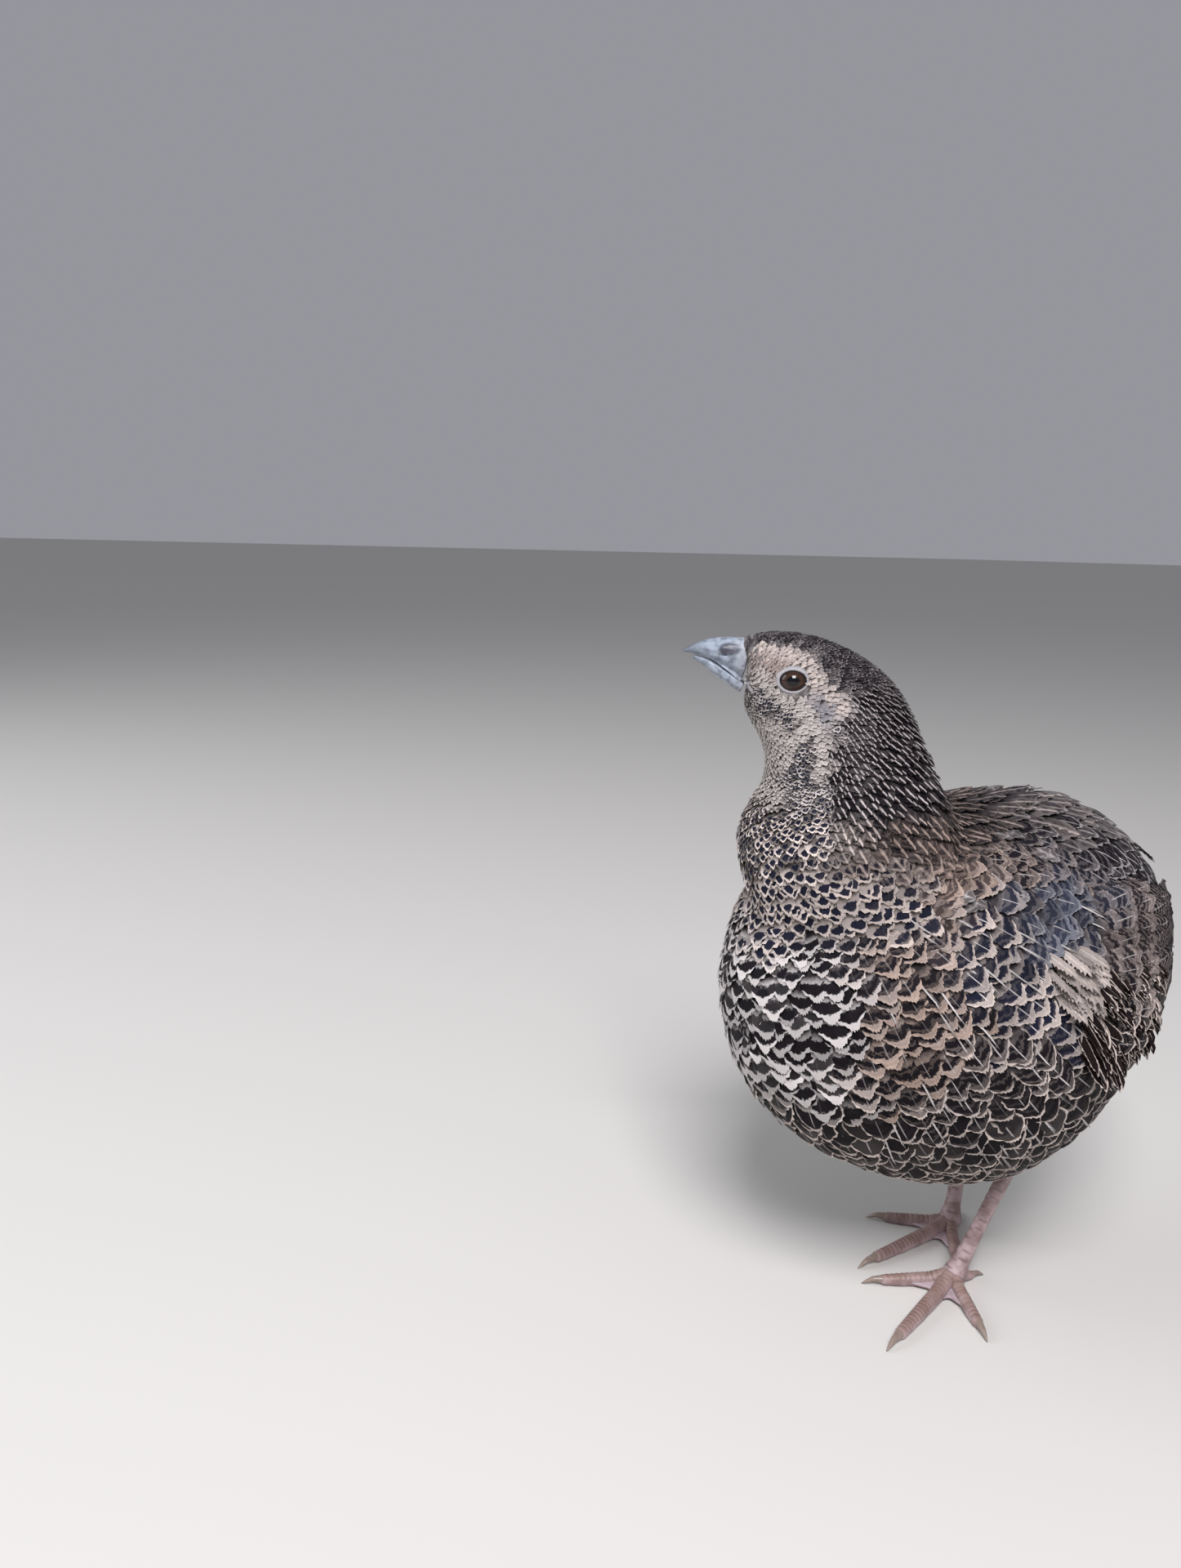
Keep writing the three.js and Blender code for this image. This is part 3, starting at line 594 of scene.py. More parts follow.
def lay(name, surface, roots, long, wide, high, marks, columns, rows, bake, given=None, turn=0.06,
        camber=0.16, fray=0.1, variety=1.0, sunk=0.35, rises=0.85, down_and_shade_share=0.58, wave=2.2):
    """Lays one feather from each root along the lie of a surface, and joins them as one mesh."""
    count = len(roots)
    long, wide, high = (np.broadcast_to(measure, count) for measure in (long, wide, high))
    marks = np.broadcast_to(marks, (count, 12))
    spot, index = surface.nearest(roots)
    course = surface.lie[index] if given is None else unit(given)
    turned = chance.normal(0, turn, count)[:, None]
    course = unit(course + np.cross(surface.normals[index], course) * turned)
    centre, normal, heading = [], [], []
    for _ in range(rows + 1):
        level = surface.normals[index]
        course = along_surface(course, level)
        centre.append(spot)
        normal.append(level)
        heading.append(course)
        spot, index = surface.nearest(spot + course * (long / rows)[:, None])
        if given is None:
            course = unit(KEEPS_COURSE * course + (1 - KEEPS_COURSE) * surface.lie[index])
    centre, normal, heading = (np.stack(part, 1)[:, :, None] for part in (centre, normal, heading))
    side = unit(np.cross(heading, normal))
    t = np.linspace(0, 1, rows + 1)
    a = np.linspace(-1, 1, columns + 1)
    length, down_it, over_it = long[:, None, None], t[None, :, None], a[None, None]
    half = wide[:, None, None] / 2 * outline(down_it)
    ragged = 1 + chance.normal(0, 0.05, (count, rows + 1, columns + 1)) * np.abs(over_it)
    x = half * over_it * ragged
    own = 0.5 + (chance.random(count) - 0.5) * variety
    roll = chance.normal(0, 0.07, count)[:, None, None]
    tip = (high * (1 + 0.25 * (own - 0.5)))[:, None, None]
    up = (tip + sunk) * down_it**rises - sunk
    up = up - camber * half * over_it**2 * down_it + roll * x
    back = -0.15 * length * over_it**2 * down_it**3
    back = back + chance.normal(0, 0.012, x.shape) * length * (down_it > 0.5)
    grid = centre + side * x[..., None] + normal * up[..., None] + heading * back[..., None]
    quads, edges = vane_faces(columns, rows)
    flat = grid.reshape(count, -1, 3)
    beside, beyond = (np.broadcast_to(part, grid.shape).reshape(count, -1, 3) for part in (side, heading))
    p, q, way = (np.array(part) for part in zip(*edges))
    reach = (fray * wide)[:, None] * chance.uniform(0.4, 1.5, (count, len(edges)))
    outward = beside[:, p] * way[:, None] * 0.75 + beyond[:, p] * np.where(way == 0, 1, 0.9)[:, None]
    apex = (flat[:, p] + flat[:, q]) / 2 + unit(outward) * reach[..., None]
    points = np.concatenate([flat, apex], 1)
    per = points.shape[1]
    v, u = (part.ravel() for part in np.meshgrid(t, 0.5 + 0.5 * a, indexing="ij"))
    u = np.append(u, (u[p] + u[q]) / 2)
    v = np.append(v, np.minimum((v[p] + v[q]) / 2 + 0.05, 1))
    inset = np.minimum((1 - np.abs(a)) * outline(t)[:, None], 1.9 * (1 - t)[:, None]).ravel()
    inset = np.append(inset, np.zeros(len(edges)))
    offset = (np.arange(count) * per)[:, None, None]
    four = (np.array(quads) + offset).reshape(-1, 4)
    three = np.stack([p, q, (columns + 1) * (rows + 1) + np.arange(len(edges))], 1)
    three = (three + offset).reshape(-1, 3)
    mesh = bpy.data.meshes.new(name)
    mesh.from_pydata((points.reshape(-1, 3) * MM).tolist(), [], [*four.tolist(), *three.tolist()])
    each = partial(np.repeat, repeats=per, axis=0)
    for word, first in (("pale", 0), ("dark", 3), ("marks_a", 6), ("marks_b", 9)):
        paint(mesh, word, each(marks[:, first:first + 3]))
    for word, values in (
        ("own", each(own)), ("rim", np.tile(inset, count)), ("down_and_shade_share", np.full(per * count, down_and_shade_share)),
        ("wobble", each(np.minimum(0.15, 1.9 / long))), ("turns", each(2 * math.pi * long / wave)),
    ):
        paint(mesh, word, values, "FLOAT")
    vane_uv = np.tile(np.stack([u, v], 1), (count, 1))
    map_uv(mesh, "vane", vane_uv)
    map_uv(mesh, "OFBake", each(bake) + (vane_uv - 0.5) * 0.003)
    piece = new_piece(name, mesh, plumage)
    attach(piece, "root")
    return piece


ROOT_STEP = 1.12
SHORTEST_ROW = 6
WIDEST_GAP = 4


def run_along(line):
    return np.concatenate([[0], np.cumsum(np.linalg.norm(np.diff(line, axis=0), axis=1))])


def row_roots(row, faces):
    """Roots at even steps along one row on the skin, each row half a step on from the last."""
    ends = {}
    level = row + 1e-4
    for face in faces:
        values = [skin_rows[i] - level for i in face]
        if min(values) > 0 or max(values) < 0:
            continue
        cut = []
        for k, i in enumerate(face):
            turn = (k + 1) % len(face)
            j, one, two = face[turn], values[k], values[turn]
            if (one > 0) != (two > 0):
                share = one / (one - two)
                cut.append(((min(i, j), max(i, j)), skin_points[i] * (1 - share) + skin_points[j] * share))
        if len(cut) == 2:
            for (key, spot), (other, _) in (cut, cut[::-1]):
                ends.setdefault(key, [spot, []])[1].append(other)
    roots = []
    while ends:
        key = next(iter(ends))
        line = []
        while key is not None:
            spot, links = ends.pop(key)
            line.append(spot)
            key = next((link for link in links if link in ends), None)
        if len(line) < SHORTEST_ROW:
            continue
        line = np.array([*line, line[0]])
        if np.linalg.norm(line[-1] - line[-2]) > WIDEST_GAP:
            line = line[:-1]
        run = run_along(line)
        number = max(3, round(run[-1] / (ROOT_STEP * row_pitch(line[:-1]).mean())))
        marks = (np.arange(number) + 0.5 * (row % 2) + chance.uniform(-0.2, 0.2, number)) % number
        marks = marks * run[-1] / number
        roots.append(np.stack([np.interp(marks, run, line[:, k]) for k in range(3)], 1))
    return np.concatenate(roots) if roots else np.empty((0, 3))


face_rows = np.array([[skin_rows[i] for i in face][:3] + [skin_rows[face[-1]]] for face in skin_faces])
all_roots, all_rows = [], []
for row in range(2, int(skin_rows.max())):
    crossing = np.nonzero((face_rows.min(1) <= row + 1e-4) & (face_rows.max(1) >= row + 1e-4))[0]
    found = row_roots(row, [skin_faces[i] for i in crossing])
    all_roots.append(found)
    all_rows.append(np.full(len(found), float(row)))
all_roots = np.concatenate(all_roots)
all_rows = np.concatenate(all_rows)
# The opening of the eye and the place under the folded wing stay bare.
EYE_CLEAR = (3.9, 3.3)
EYE_CLEAR_AT = 0.8
BODY_AXIS = 78
ahead, up, out = in_head(all_roots)
for_eye = ((ahead - EYE_CLEAR_AT) / EYE_CLEAR[0]) ** 2 + (up / EYE_CLEAR[1]) ** 2 < 1
forward = forward_of(all_roots)
degrees_up = np.degrees(np.arctan2(all_roots[:, 2] - BODY_AXIS, np.abs(all_roots[:, 0])))
under_wing = (forward > -42) & (forward < -14) & (degrees_up > 4) & (degrees_up < 28)
clear = ~(for_eye & (np.abs(out) > 5)) & ~under_wing
all_roots, all_rows, forward = all_roots[clear], all_rows[clear], forward[clear]
pitch = row_pitch(all_roots)
from_bill = np.linalg.norm(all_roots - BILL_ROOT, axis=1)
HEAD_TO, NECK_TO, BREAST_FROM = 34, 58, 12
VANE_LONG, VANE_WIDE, VANE_HIGH = 2.9, 1.85, 1.15
FADED = marking((0.28, 0.25, 0.245), SOOT, streak=0.45, mottle=0.45, shaft=0.7)
on_neck, on_body = (from_bill >= HEAD_TO) & (from_bill < NECK_TO), from_bill >= NECK_TO
# name, roots, faces across and along a vane, variety, fray, slot
GROUPS = [
    ("head_feathers", from_bill < HEAD_TO, 2, 4, 0.45, 0.10, "head_feathers"),
    ("neck_feathers", on_neck, 4, 5, 0.8, 0.09, "neck_feathers"),
    ("breast_feathers", on_body & (forward >= BREAST_FROM), 6, 6, 1.0, 0.065, "body_feathers"),
    ("back_and_belly_feathers", on_body & (forward < BREAST_FROM), 6, 6, 1.0, 0.065, "body_feathers"),
]
for name, chosen, columns, rows, variety, fray, slot in GROUPS:
    roots, size = all_roots[chosen], pitch[chosen][:, None]
    count = len(roots)
    roots = roots + skin.lie[skin.nearest(roots)[1]] * chance.normal(0, 0.2, (count, 1)) * size
    size_of = pitch[chosen] * chance.uniform(0.88, 1.15, count)
    marks = markings(roots + chance.normal(0, 2.8, roots.shape) * np.maximum((size / 4.4) ** 2, 0.12))
    greyer = 0.5 * chance.random((count, 1)) ** 2 * np.clip(size / 3, 0, 1)
    marks[:, :3] = marks[:, :3] * (1 - greyer) + np.array(GREY) * greyer
    marks[:, 6:] *= chance.uniform(0.92, 1.1, (count, 6))
    # On the crown and cheeks two of five feathers are dark flecks, and the rest are lighter.
    flecked = np.where(chance.random((count, 1)) < 0.4, -0.7, 0.3) * (size < 2)
    marks[:, :3] *= 1 + flecked * np.clip(2 * marks[:, 8:9] - 0.8, 0, 1)
    faded = (chance.random(count) < 0.12) & (roots[:, 2] > 106) & (pitch[chosen] > 3)
    marks[faded] = FADED
    piece = lay(
        name, skin, roots, VANE_LONG * size_of, VANE_WIDE * size_of, VANE_HIGH * coat_depth(roots), marks,
        columns, rows, unwrap(roots, all_rows[chosen]), turn=0.1, variety=variety, fray=fray,
    )

# The loose shafts of the flanks
# Here and there on the flank a feather has worn down to its thin white shaft, which stands clear of the
# coat. Each shaft is rooted in the skin like a whole feather.
SIDES = ((1, "left"), (-1, "right"))
SHAFTS_A_SIDE = 54
SHAFT = marking(WHITE, GREY, streak=0.2)
for side, word in SIDES:
    on_flank = (all_roots[:, 0] * side > 22) & (forward > -6) & (forward < 52)
    on_flank &= (all_roots[:, 2] > 48) & (all_roots[:, 2] < 106)
    picked = chance.choice(np.nonzero(on_flank)[0], SHAFTS_A_SIDE, replace=False)
    roots = all_roots[picked]
    piece = lay(
        f"shafts_{word}", skin, roots, chance.uniform(9, 16, SHAFTS_A_SIDE), 0.3,
        VANE_HIGH * coat_depth(roots) + 0.5, SHAFT, 2, 8, unwrap(roots, all_rows[picked]), turn=0.25,
        fray=0.3, camber=0.5, down_and_shade_share=-0.5, rises=0.6,
    )

# The wings
# Each folded wing lies on the side of the body in tiers: primaries lowest, then secondaries and three
# kinds of coverts, every tier rooted in the skin under the tier in front and lying over the one behind.
AXIS_FORWARD = [-59, -27, 4, 35, 67]
AXIS_HEIGHT = [85, 80, 75, 78, 78]
FAR_OUT = 150
guide = Surface(*remeshed([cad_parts[name] for name in ("torso", "tail")], 1.3, 0.4, 14))


def side_point(side, forward, degrees_up):
    axis = Vector((0, ORIGIN_Y - forward, np.interp(forward, AXIS_FORWARD, AXIS_HEIGHT)))
    angle = math.radians(degrees_up)
    out_way = Vector((side * math.cos(angle), 0, math.sin(angle)))
    spot, _, _, _ = guide.tree.ray_cast(axis + FAR_OUT * out_way, -out_way)
    return np.array(spot if spot is not None else axis)


def side_points(side, ends, share):
    """Points on the side between two ends, which are given as forward and degrees up."""
    places = [np.interp(share, [0, 1], [ends[k], ends[k + 2]]) for k in (0, 1)]
    return np.array([side_point(side, *place) for place in zip(*places)])


def bake_spots(roots):
    _, index = skin.nearest(roots)
    return unwrap(roots, skin_rows[index])


DIM = (0.135, 0.112, 0.106)
GREATER = marking((0.19, 0.158, 0.148), SOOT, mottle=1, shaft=0.6)
QUILL = marking(DIM, SOOT, mottle=1, shaft=0.7)
# count, root and tip of the lowest and highest feather as forward and degrees up, width, height, wave,
# faces along a vane, depth of the roots, share darkened at the root as grey down and painted overlap shade,
# markings or those of the body there
WING_TIERS = [
    (9, (-2, -4, -6, 10), (-44, -9, -52, 6), 6.4, 0.9, 2.0, 22, 0.35, 0.2, QUILL),
    (13, (2, -4, -6, 30), (-36, -9, -48, 24), 6.4, 1.6, 1.5, 22, 0.35, 0.2, QUILL),
    (14, (0, -4, -6, 34), (-20, -8, -30, 33), 6.0, 2.4, 1.6, 14, 1.4, 0.26, GREATER),
    (15, (0, -3, -4, 37), (-10, -6, -18, 37), 5.6, 3.0, 1.6, 14, 1.4, 0.26, None),
    (16, (4, -2, 0, 39), (-4, -5, -10, 40), 5.2, 3.0, 1.6, 14, 1.4, 0.26, None),
]
for side, word in SIDES:
    for tier, (count, start, end, wide, high, wave, rows, sunk, down_and_shade_share, marks) in enumerate(WING_TIERS):
        share = np.linspace(0, 1, count) + chance.normal(0, 0.012, count)
        roots, tips = side_points(side, start, share), side_points(side, end, share)
        long = np.linalg.norm(tips - roots, axis=1) * chance.uniform(0.98, 1.12, count)
        # Tiers without markings of their own take those of the body there, which at the front of the wing
        # include the painted shade of the gap.
        coloured = markings(roots) if marks is None else np.tile(marks, (count, 1))
        coloured[:, :6] *= chance.uniform(0.85, 1.15, (count, 1))
        piece = lay(
            f"wing_{word}_{tier}", guide, roots, long, wide, high, coloured, 8, rows, bake_spots(roots),
            given=tips - roots, turn=0.08, fray=0.06, camber=0.13, wave=wave, sunk=sunk, down_and_shade_share=down_and_shade_share,
        )
    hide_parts(f"wing_{word}")

# The flank plumes
# Long loose feathers grow from the flank and hang back over the folded wing. The front ones are soft
# and pale, and the ones behind are narrow and dark, striped along the shaft or edged with cream.
BROWN_BLACK = (0.014, 0.008, 0.008)
PALE_PLUME = marking((0.46, 0.40, 0.365), UMBER, streak=0.35, mottle=0.1)
STRIPED_PLUME = marking(CREAM, BROWN_BLACK, streak=1, shaft=1)
EDGED_PLUME = marking(CREAM, BROWN_BLACK, scale=1, shaft=1)
# count, forward range, range of degrees up, length, width, height, fray, markings
PLUMES = [
    ("striped", 74, (-14, 13), (-3, 25), (9, 15), (1.4, 2.2), 2.9, 0.12, STRIPED_PLUME),
    ("edged", 50, (-14, 12), (-3, 24), (9, 14), (1.6, 2.4), 3.0, 0.12, EDGED_PLUME),
    ("pale", 30, (9, 19), (16, 29), (6, 9.5), (1.4, 2.4), 2.7, 0.34, PALE_PLUME),
]
for side, word in SIDES:
    for kind, count, places, angles, lengths, widths, high, fray, marks in PLUMES:
        roots = np.array(
            [side_point(side, chance.uniform(*places), chance.uniform(*angles)) for _ in range(count)]
        )
        ways = np.stack([np.zeros(count), np.full(count, 0.5), chance.normal(-0.85, 0.22, count)], 1)
        coloured = np.tile(marks, (count, 1))
        coloured[:, :6] *= chance.uniform(0.8, 1.15, (count, 1))
        piece = lay(
            f"plumes_{kind}_{word}", guide, roots, chance.uniform(*lengths, count),
            chance.uniform(*widths, count), high, coloured, 4, 9, bake_spots(roots), given=ways, fray=fray,
            turn=0.12, sunk=1.8, rises=1.0, down_and_shade_share=0.25,
        )

# The tail
# Twelve soft quills droop from the rump under two rows of coverts. They are rooted in the rump and
# fan out a little towards their tips.
TAIL_QUILLS = 12
QUILL_TAIL = marking(DIM, SOOT, mottle=0.9, shaft=0.5)
COVERT_TAIL = marking(DIM, SOOT, scale=0.6, mottle=0.8, shaft=0.9)
# half the spread, forward and height of the roots, length, width, height, depth of the roots, markings
TAIL_TIERS = [
    (10, -50, 98, 33, 6.8, 0.9, 0.35, QUILL_TAIL),
    (12, -44, 104, 23, 6.2, 1.3, 1.6, COVERT_TAIL),
    (14, -38, 110, 16, 6.0, 1.7, 1.6, COVERT_TAIL),
]
for tier, (half, forward, height, reach, wide, high, sunk, marks) in enumerate(TAIL_TIERS):
    across_at = np.linspace(-half, half, TAIL_QUILLS)
    roots, _ = guide.nearest(np.array([(x * 0.8, ORIGIN_Y - forward, height) for x in across_at]))
    ways = np.array([(x * 0.006, 0.6, -0.6) for x in across_at])
    long = reach * (1 - 0.15 * (across_at / half) ** 2)
    piece = lay(
        f"tail_{tier}", guide, roots, long, wide, high, marks, 8, 18, bake_spots(roots), given=ways,
        turn=0.03, fray=0.08, wave=2.0, sunk=sunk, down_and_shade_share=0.35,
    )
    if tier == 0:
        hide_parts("tail")

# The bill
# Two horn sheaths over bone meet along the mouth. The upper one carries a ridge, a soft flap over each
# nostril and a slightly hooked tip.
HORN_STREAK = (0.13, 0.145, 0.18, 1)
HORN_PALE = np.array([0.28, 0.325, 0.39])
HORN_DARK = np.array([0.055, 0.06, 0.08])
HORN_WARM = np.array([0.31, 0.29, 0.31])
FLAP = np.array([0.05, 0.048, 0.066])
FLAP_AT, FLAP_HALF = (14.0, 5.5), (1.9, 1.1)
horn, tree, shader = finish_of("bill_horn", 0.42)
streaky = rise(tree, noise(tree, 700, 3), 0.4, 0.75)
tone = blend(tree, streaky, attribute(tree, "tone", "Color"), HORN_STREAK)
feed(tree, shader.inputs["Base Color"], tone)
bump(tree, shader, noise(tree, 1400, 4), 0.25, 0.0002)
# how far the root of each half is carried back into the face, and how much of that it sinks
BILL_HALVES = {"bill_upper": (1.6, 0.8), "bill_lower": (2.3, 0.62)}
for name, (goes_back, sinking) in BILL_HALVES.items():
    points, normals, faces = remeshed([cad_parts[name]], 0.16, 0.0, 5)
    ahead, up, out = in_head(points)
    back_by = goes_back * np.clip(14.2 - ahead, 0, 3)
    sinks = sinking * back_by * np.clip((7.5 - up) / 6, 0, 1)
    points = points - back_by[:, None] * AHEAD - sinks[:, None] * UP
    ahead, up, out = in_head(points)
    ridge = np.clip(1 - np.abs(out) / 0.9, 0, 1) * np.clip(normals[:, 2], 0, 1)
    dark = np.clip(0.75 * np.clip((ahead - 18.5) / 5, 0, 1) + 0.5 * ridge, 0, 1)
    warm = 0.6 * np.clip((14 - ahead) / 4, 0, 1)
    far = np.hypot((ahead - FLAP_AT[0]) / FLAP_HALF[0], (up - FLAP_AT[1]) / FLAP_HALF[1])
    flap = 2 * np.clip(1.5 - far, 0, 0.5) * (np.abs(out) > 1.2) * (name == "bill_upper")
    tone = HORN_PALE
    for colour, share in ((HORN_WARM, warm), (HORN_DARK, dark), (FLAP, flap)):
        tone = tone * (1 - share[:, None]) + colour * share[:, None]
    mesh = bpy.data.meshes.new(name + "_horn")
    mesh.from_pydata((points * MM).tolist(), [], faces)
    paint(mesh, "tone", tone)
    piece = new_piece(name + "_horn", mesh, horn)
    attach(piece, "root")
    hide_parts(name)

# The corners of the mouth
# Two soft lips of bare skin run back from the bill on each side and meet below the eye.
bare, tree, shader = finish_of("bare_skin", 0.5, Subsurface_Weight=0.15, Subsurface_Scale=0.001)
folds = noise(tree, 1900, 3)
feed(tree, shader.inputs["Base Color"], blend(tree, folds, (0.22, 0.21, 0.23, 1), (0.42, 0.40, 0.41, 1)))
bump(tree, shader, folds, 0.5, 0.0003)


def limb(name, path, radii, sides, shape, finish):
    """A limb extruded ring by ring along a path. A function shapes each ring by angle and distance."""
    heading = unit(np.gradient(path, axis=0))
    run = run_along(path)
    reference = np.array([0, 0, 1.0] if abs(heading[:, 2].mean()) < 0.7 else [0, -1.0, 0])
    right_way = unit(np.cross(heading, reference))
    over_way = unit(np.cross(right_way, heading))
    bm = bmesh.new()
    ring = bmesh.ops.create_circle(bm, cap_ends=True, segments=sides, radius=1)["verts"]
    edges = bm.edges[:]
    marks = {}
    angles = {vertex: math.atan2(vertex.co.y, vertex.co.x) for vertex in ring}
    for k, spot in enumerate(path):
        if k:
            made = bmesh.ops.extrude_edge_only(bm, edges=edges)["geom"]
            ring = [item for item in made if isinstance(item, bmesh.types.BMVert)]
            edges = [item for item in made if isinstance(item, bmesh.types.BMEdge)
                     and item.verts[0] in ring and item.verts[1] in ring]
            linked = {}
            for vertex in ring:
                others = (edge.other_vert(vertex) for edge in vertex.link_edges)
                linked[vertex] = angles[next(other for other in others if other in angles)]
            angles = linked
        for vertex in ring:
            angle = angles[vertex]
            grow, *marks[vertex] = shape(angle, run[k])
            across_it = math.cos(angle) * right_way[k] + math.sin(angle) * over_way[k]
            place = spot + radii[k] * grow * across_it
            place[2] = max(place[2], 0.0)
            vertex.co = Vector(place * MM)
    bmesh.ops.contextual_create(bm, geom=edges)
    bmesh.ops.recalc_face_normals(bm, faces=bm.faces)
    values = np.array([marks[vertex] for vertex in bm.verts])
    mesh = mesh_from(bm, name)
    paint(mesh, "groove_shade", values[:, 0], "FLOAT")
    paint(mesh, "ochre", values[:, 1], "FLOAT")
    piece = new_piece(name, mesh, finish)
    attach(piece, "root")
    return piece


def smooth_round(angle, run):
    return 1, 0, 0


LIP_RINGS = 16
for side, word in SIDES:
    for lip, above in (("upper", 0.38), ("lower", -0.38)):
        spots = []
        for share in np.linspace(0, 1, LIP_RINGS):
            start = head_point(10.4 - 2.3 * share, -1.1 - 2.4 * share + above * (1 - share**2), side * 40)
            spot, normal, _, _ = skin.tree.ray_cast(Vector(start), Vector(-side * LEFT))
            spots.append(np.array(spot if spot is not None else start - side * 37 * LEFT) + 0.3 * side * LEFT)
        radii = 0.08 + 0.2 * np.sin(np.pi * np.linspace(0.25, 0.97, LIP_RINGS))
        piece = limb(f"lip_{lip}_{word}", np.array(spots), radii, 10, smooth_round, bare)

# The eyes
# A wet dark eyeball sits in each socket, with a brown iris round a black pupil, ringed by bare
# bluish-white lids with fine folds.
EYE_OUT = 8.9
EYE_HALF = (3.15, 2.55, 2.55)
PUPIL = (0.002, 0.002, 0.003, 1)
IRIS = (0.014, 0.007, 0.005, 1)
IRIS_RAYS = (0.060, 0.027, 0.016, 1)
IRIS_RIM = (0.012, 0.008, 0.008, 1)
wet, tree, shader = finish_of(
    "wet_eye", 0.06, Coat_Weight=0.2, Coat_Roughness=0.02, Specular_IOR_Level=0.3
)
radial = attribute(tree, "radial")
iris = blend(tree, noise(tree, 2200, 3), IRIS, IRIS_RAYS)
iris = blend(tree, rise(tree, radial, 2.0, 2.6), iris, IRIS_RIM)
feed(tree, shader.inputs["Base Color"], blend(tree, rise(tree, radial, 1.25, 1.42), PUPIL, iris))
# outline of the lid's roll: share outward from the opening, distance out of the head
LID_ROLL = [
    (0.0, 9.2), (-0.10, 9.9), (-0.06, 10.4), (0.25, 10.6), (0.6, 10.4), (1.0, 9.8), (1.3, 8.9), (0.5, 8.6),
]
LID_INNER = (2.85, 2.2)
LID_WIDE = 0.85
LID_FOLDS = 38
SPUN_AT = 10
for side, word in SIDES:
    bm = bmesh.new()
    bmesh.ops.create_uvsphere(bm, u_segments=40, v_segments=28, radius=1)
    radial_values = []
    for vertex in bm.verts:
        x, y, z = vertex.co
        bulge = 1 + 0.06 * max(0.0, z) ** 6
        radial_values.append(EYE_HALF[0] * math.hypot(x, y) if z > 0 else 3.0)
        spot = head_point(EYE_HALF[0] * x, EYE_HALF[1] * y, side * (EYE_OUT + EYE_HALF[2] * z * bulge))
        vertex.co = Vector(spot * MM)
    bmesh.ops.recalc_face_normals(bm, faces=bm.faces)
    mesh = mesh_from(bm, "eyeball_" + word)
    paint(mesh, "radial", np.array(radial_values), "FLOAT")
    piece = new_piece("eyeball_" + word, mesh, wet)
    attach(piece, "root")
    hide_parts("eye_" + word)
    bm = bmesh.new()
    ring = [bm.verts.new((SPUN_AT + share, 0, out)) for share, out in LID_ROLL]
    edges = [bm.edges.new((ring[k - 1], ring[k])) for k in range(len(ring))]
    bmesh.ops.spin(bm, geom=[*ring, *edges], cent=(0, 0, 0), axis=(0, 0, 1), dvec=(0, 0, 0),
                   angle=2 * math.pi, steps=56, use_merge=True)
    bmesh.ops.subdivide_edges(bm, edges=bm.edges, cuts=1, use_grid_fill=True)
    for vertex in bm.verts:
        x, y, z = vertex.co
        around = math.atan2(y, x)
        share = math.hypot(x, y) - SPUN_AT
        fold = 0.07 * math.sin(LID_FOLDS * around) * math.sin(math.pi * min(1, max(0, share)))
        spot = head_point(
            (LID_INNER[0] + LID_WIDE * share) * math.cos(around),
            (LID_INNER[1] + LID_WIDE * share) * math.sin(around),
            side * (z + fold),
        )
        vertex.co = Vector(spot * MM)
    soften(bm, 0.4)
    bmesh.ops.recalc_face_normals(bm, faces=bm.faces)
    piece = new_piece("lids_" + word, mesh_from(bm, "lids_" + word), bare)
    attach(piece, "root")

# The legs
# Bare scaly shanks end in three front toes joined by small webs and a short hind toe. Plates of horn
# overlap down the front of the shank and over each toe, and soft pads lie under the toes.
leather, tree, shader = finish_of("leg_skin", 0.48, Subsurface_Weight=0.12, Subsurface_Scale=0.002)
patches = rise(tree, noise(tree, 300, 2), 0.35, 0.65)
flesh = blend(tree, patches, (0.42, 0.31, 0.32, 1), (0.25, 0.165, 0.165, 1))
flesh = blend(tree, attribute(tree, "ochre"), flesh, (0.24, 0.15, 0.11, 1))
# painted shade darkens the crease where each horn plate steps down onto the next
flesh = blend(tree, calc(tree, "MULTIPLY", attribute(tree, "groove_shade"), 0.85), flesh, (0.11, 0.06, 0.05, 1))
feed(tree, shader.inputs["Base Color"], flesh)
bump(tree, shader, noise(tree, 1600, 3), 0.4, 0.0003)
claw_horn, tree, shader = finish_of("claw_horn", 0.35)
flesh = blend(tree, noise(tree, 900, 2), (0.17, 0.12, 0.10, 1), (0.32, 0.25, 0.21, 1))
feed(tree, shader.inputs["Base Color"], flesh)
bump(tree, shader, noise(tree, 1500, 2), 0.2, 0.0002)
web_skin, tree, shader = finish_of("web_skin", 0.5, Subsurface_Weight=0.2, Subsurface_Scale=0.002)
flesh = blend(tree, noise(tree, 500, 3), (0.32, 0.25, 0.28, 1), (0.46, 0.36, 0.38, 1))
feed(tree, shader.inputs["Base Color"], flesh)
bump(tree, shader, noise(tree, 1500, 3), 0.5, 0.0003)
# side, where the foot stands and how far it is turned, upper end of the shank
LEGS = [
    ("left", 1, (13, 9), 21, (14.5, -10, 36)),
    ("right", -1, (-5, -8), -5, (-9, -17, 40)),
]
# angle from straight ahead, length, thickness, length of the claw
TOES = [
    ("middle", 0, 28, 1.75, 5.5), ("inner", -48, 17.5, 1.6, 4.5), ("outer", 46, 17, 1.6, 4.5),
    ("hind", 155, 7, 1.2, 3.2),
]
TOE_SHARE = [0, 0.3, 0.65, 1]
TOE_HEIGHT = [3.2, 1.75, 1.4, 1.25]
TOE_THICK = [1.05, 1.0, 0.92, 0.74]
TOE_END = [0.93, 0.8, 0.55]
SHANK_SHARE = [0, 0.25, 0.6, 0.86, 0.95, 1]
SHANK_THICK = [2.4, 1.75, 1.65, 2.0, 2.9, 2.2]
FOOT_HEIGHT = 1.6
CLAW_ROOT = 0.9
PLATE_END = 0.86
WEB_FROM, WEB_TO, WEB_SPREAD, WEB_THICK = 2.5, 10.5, 42, 0.0006


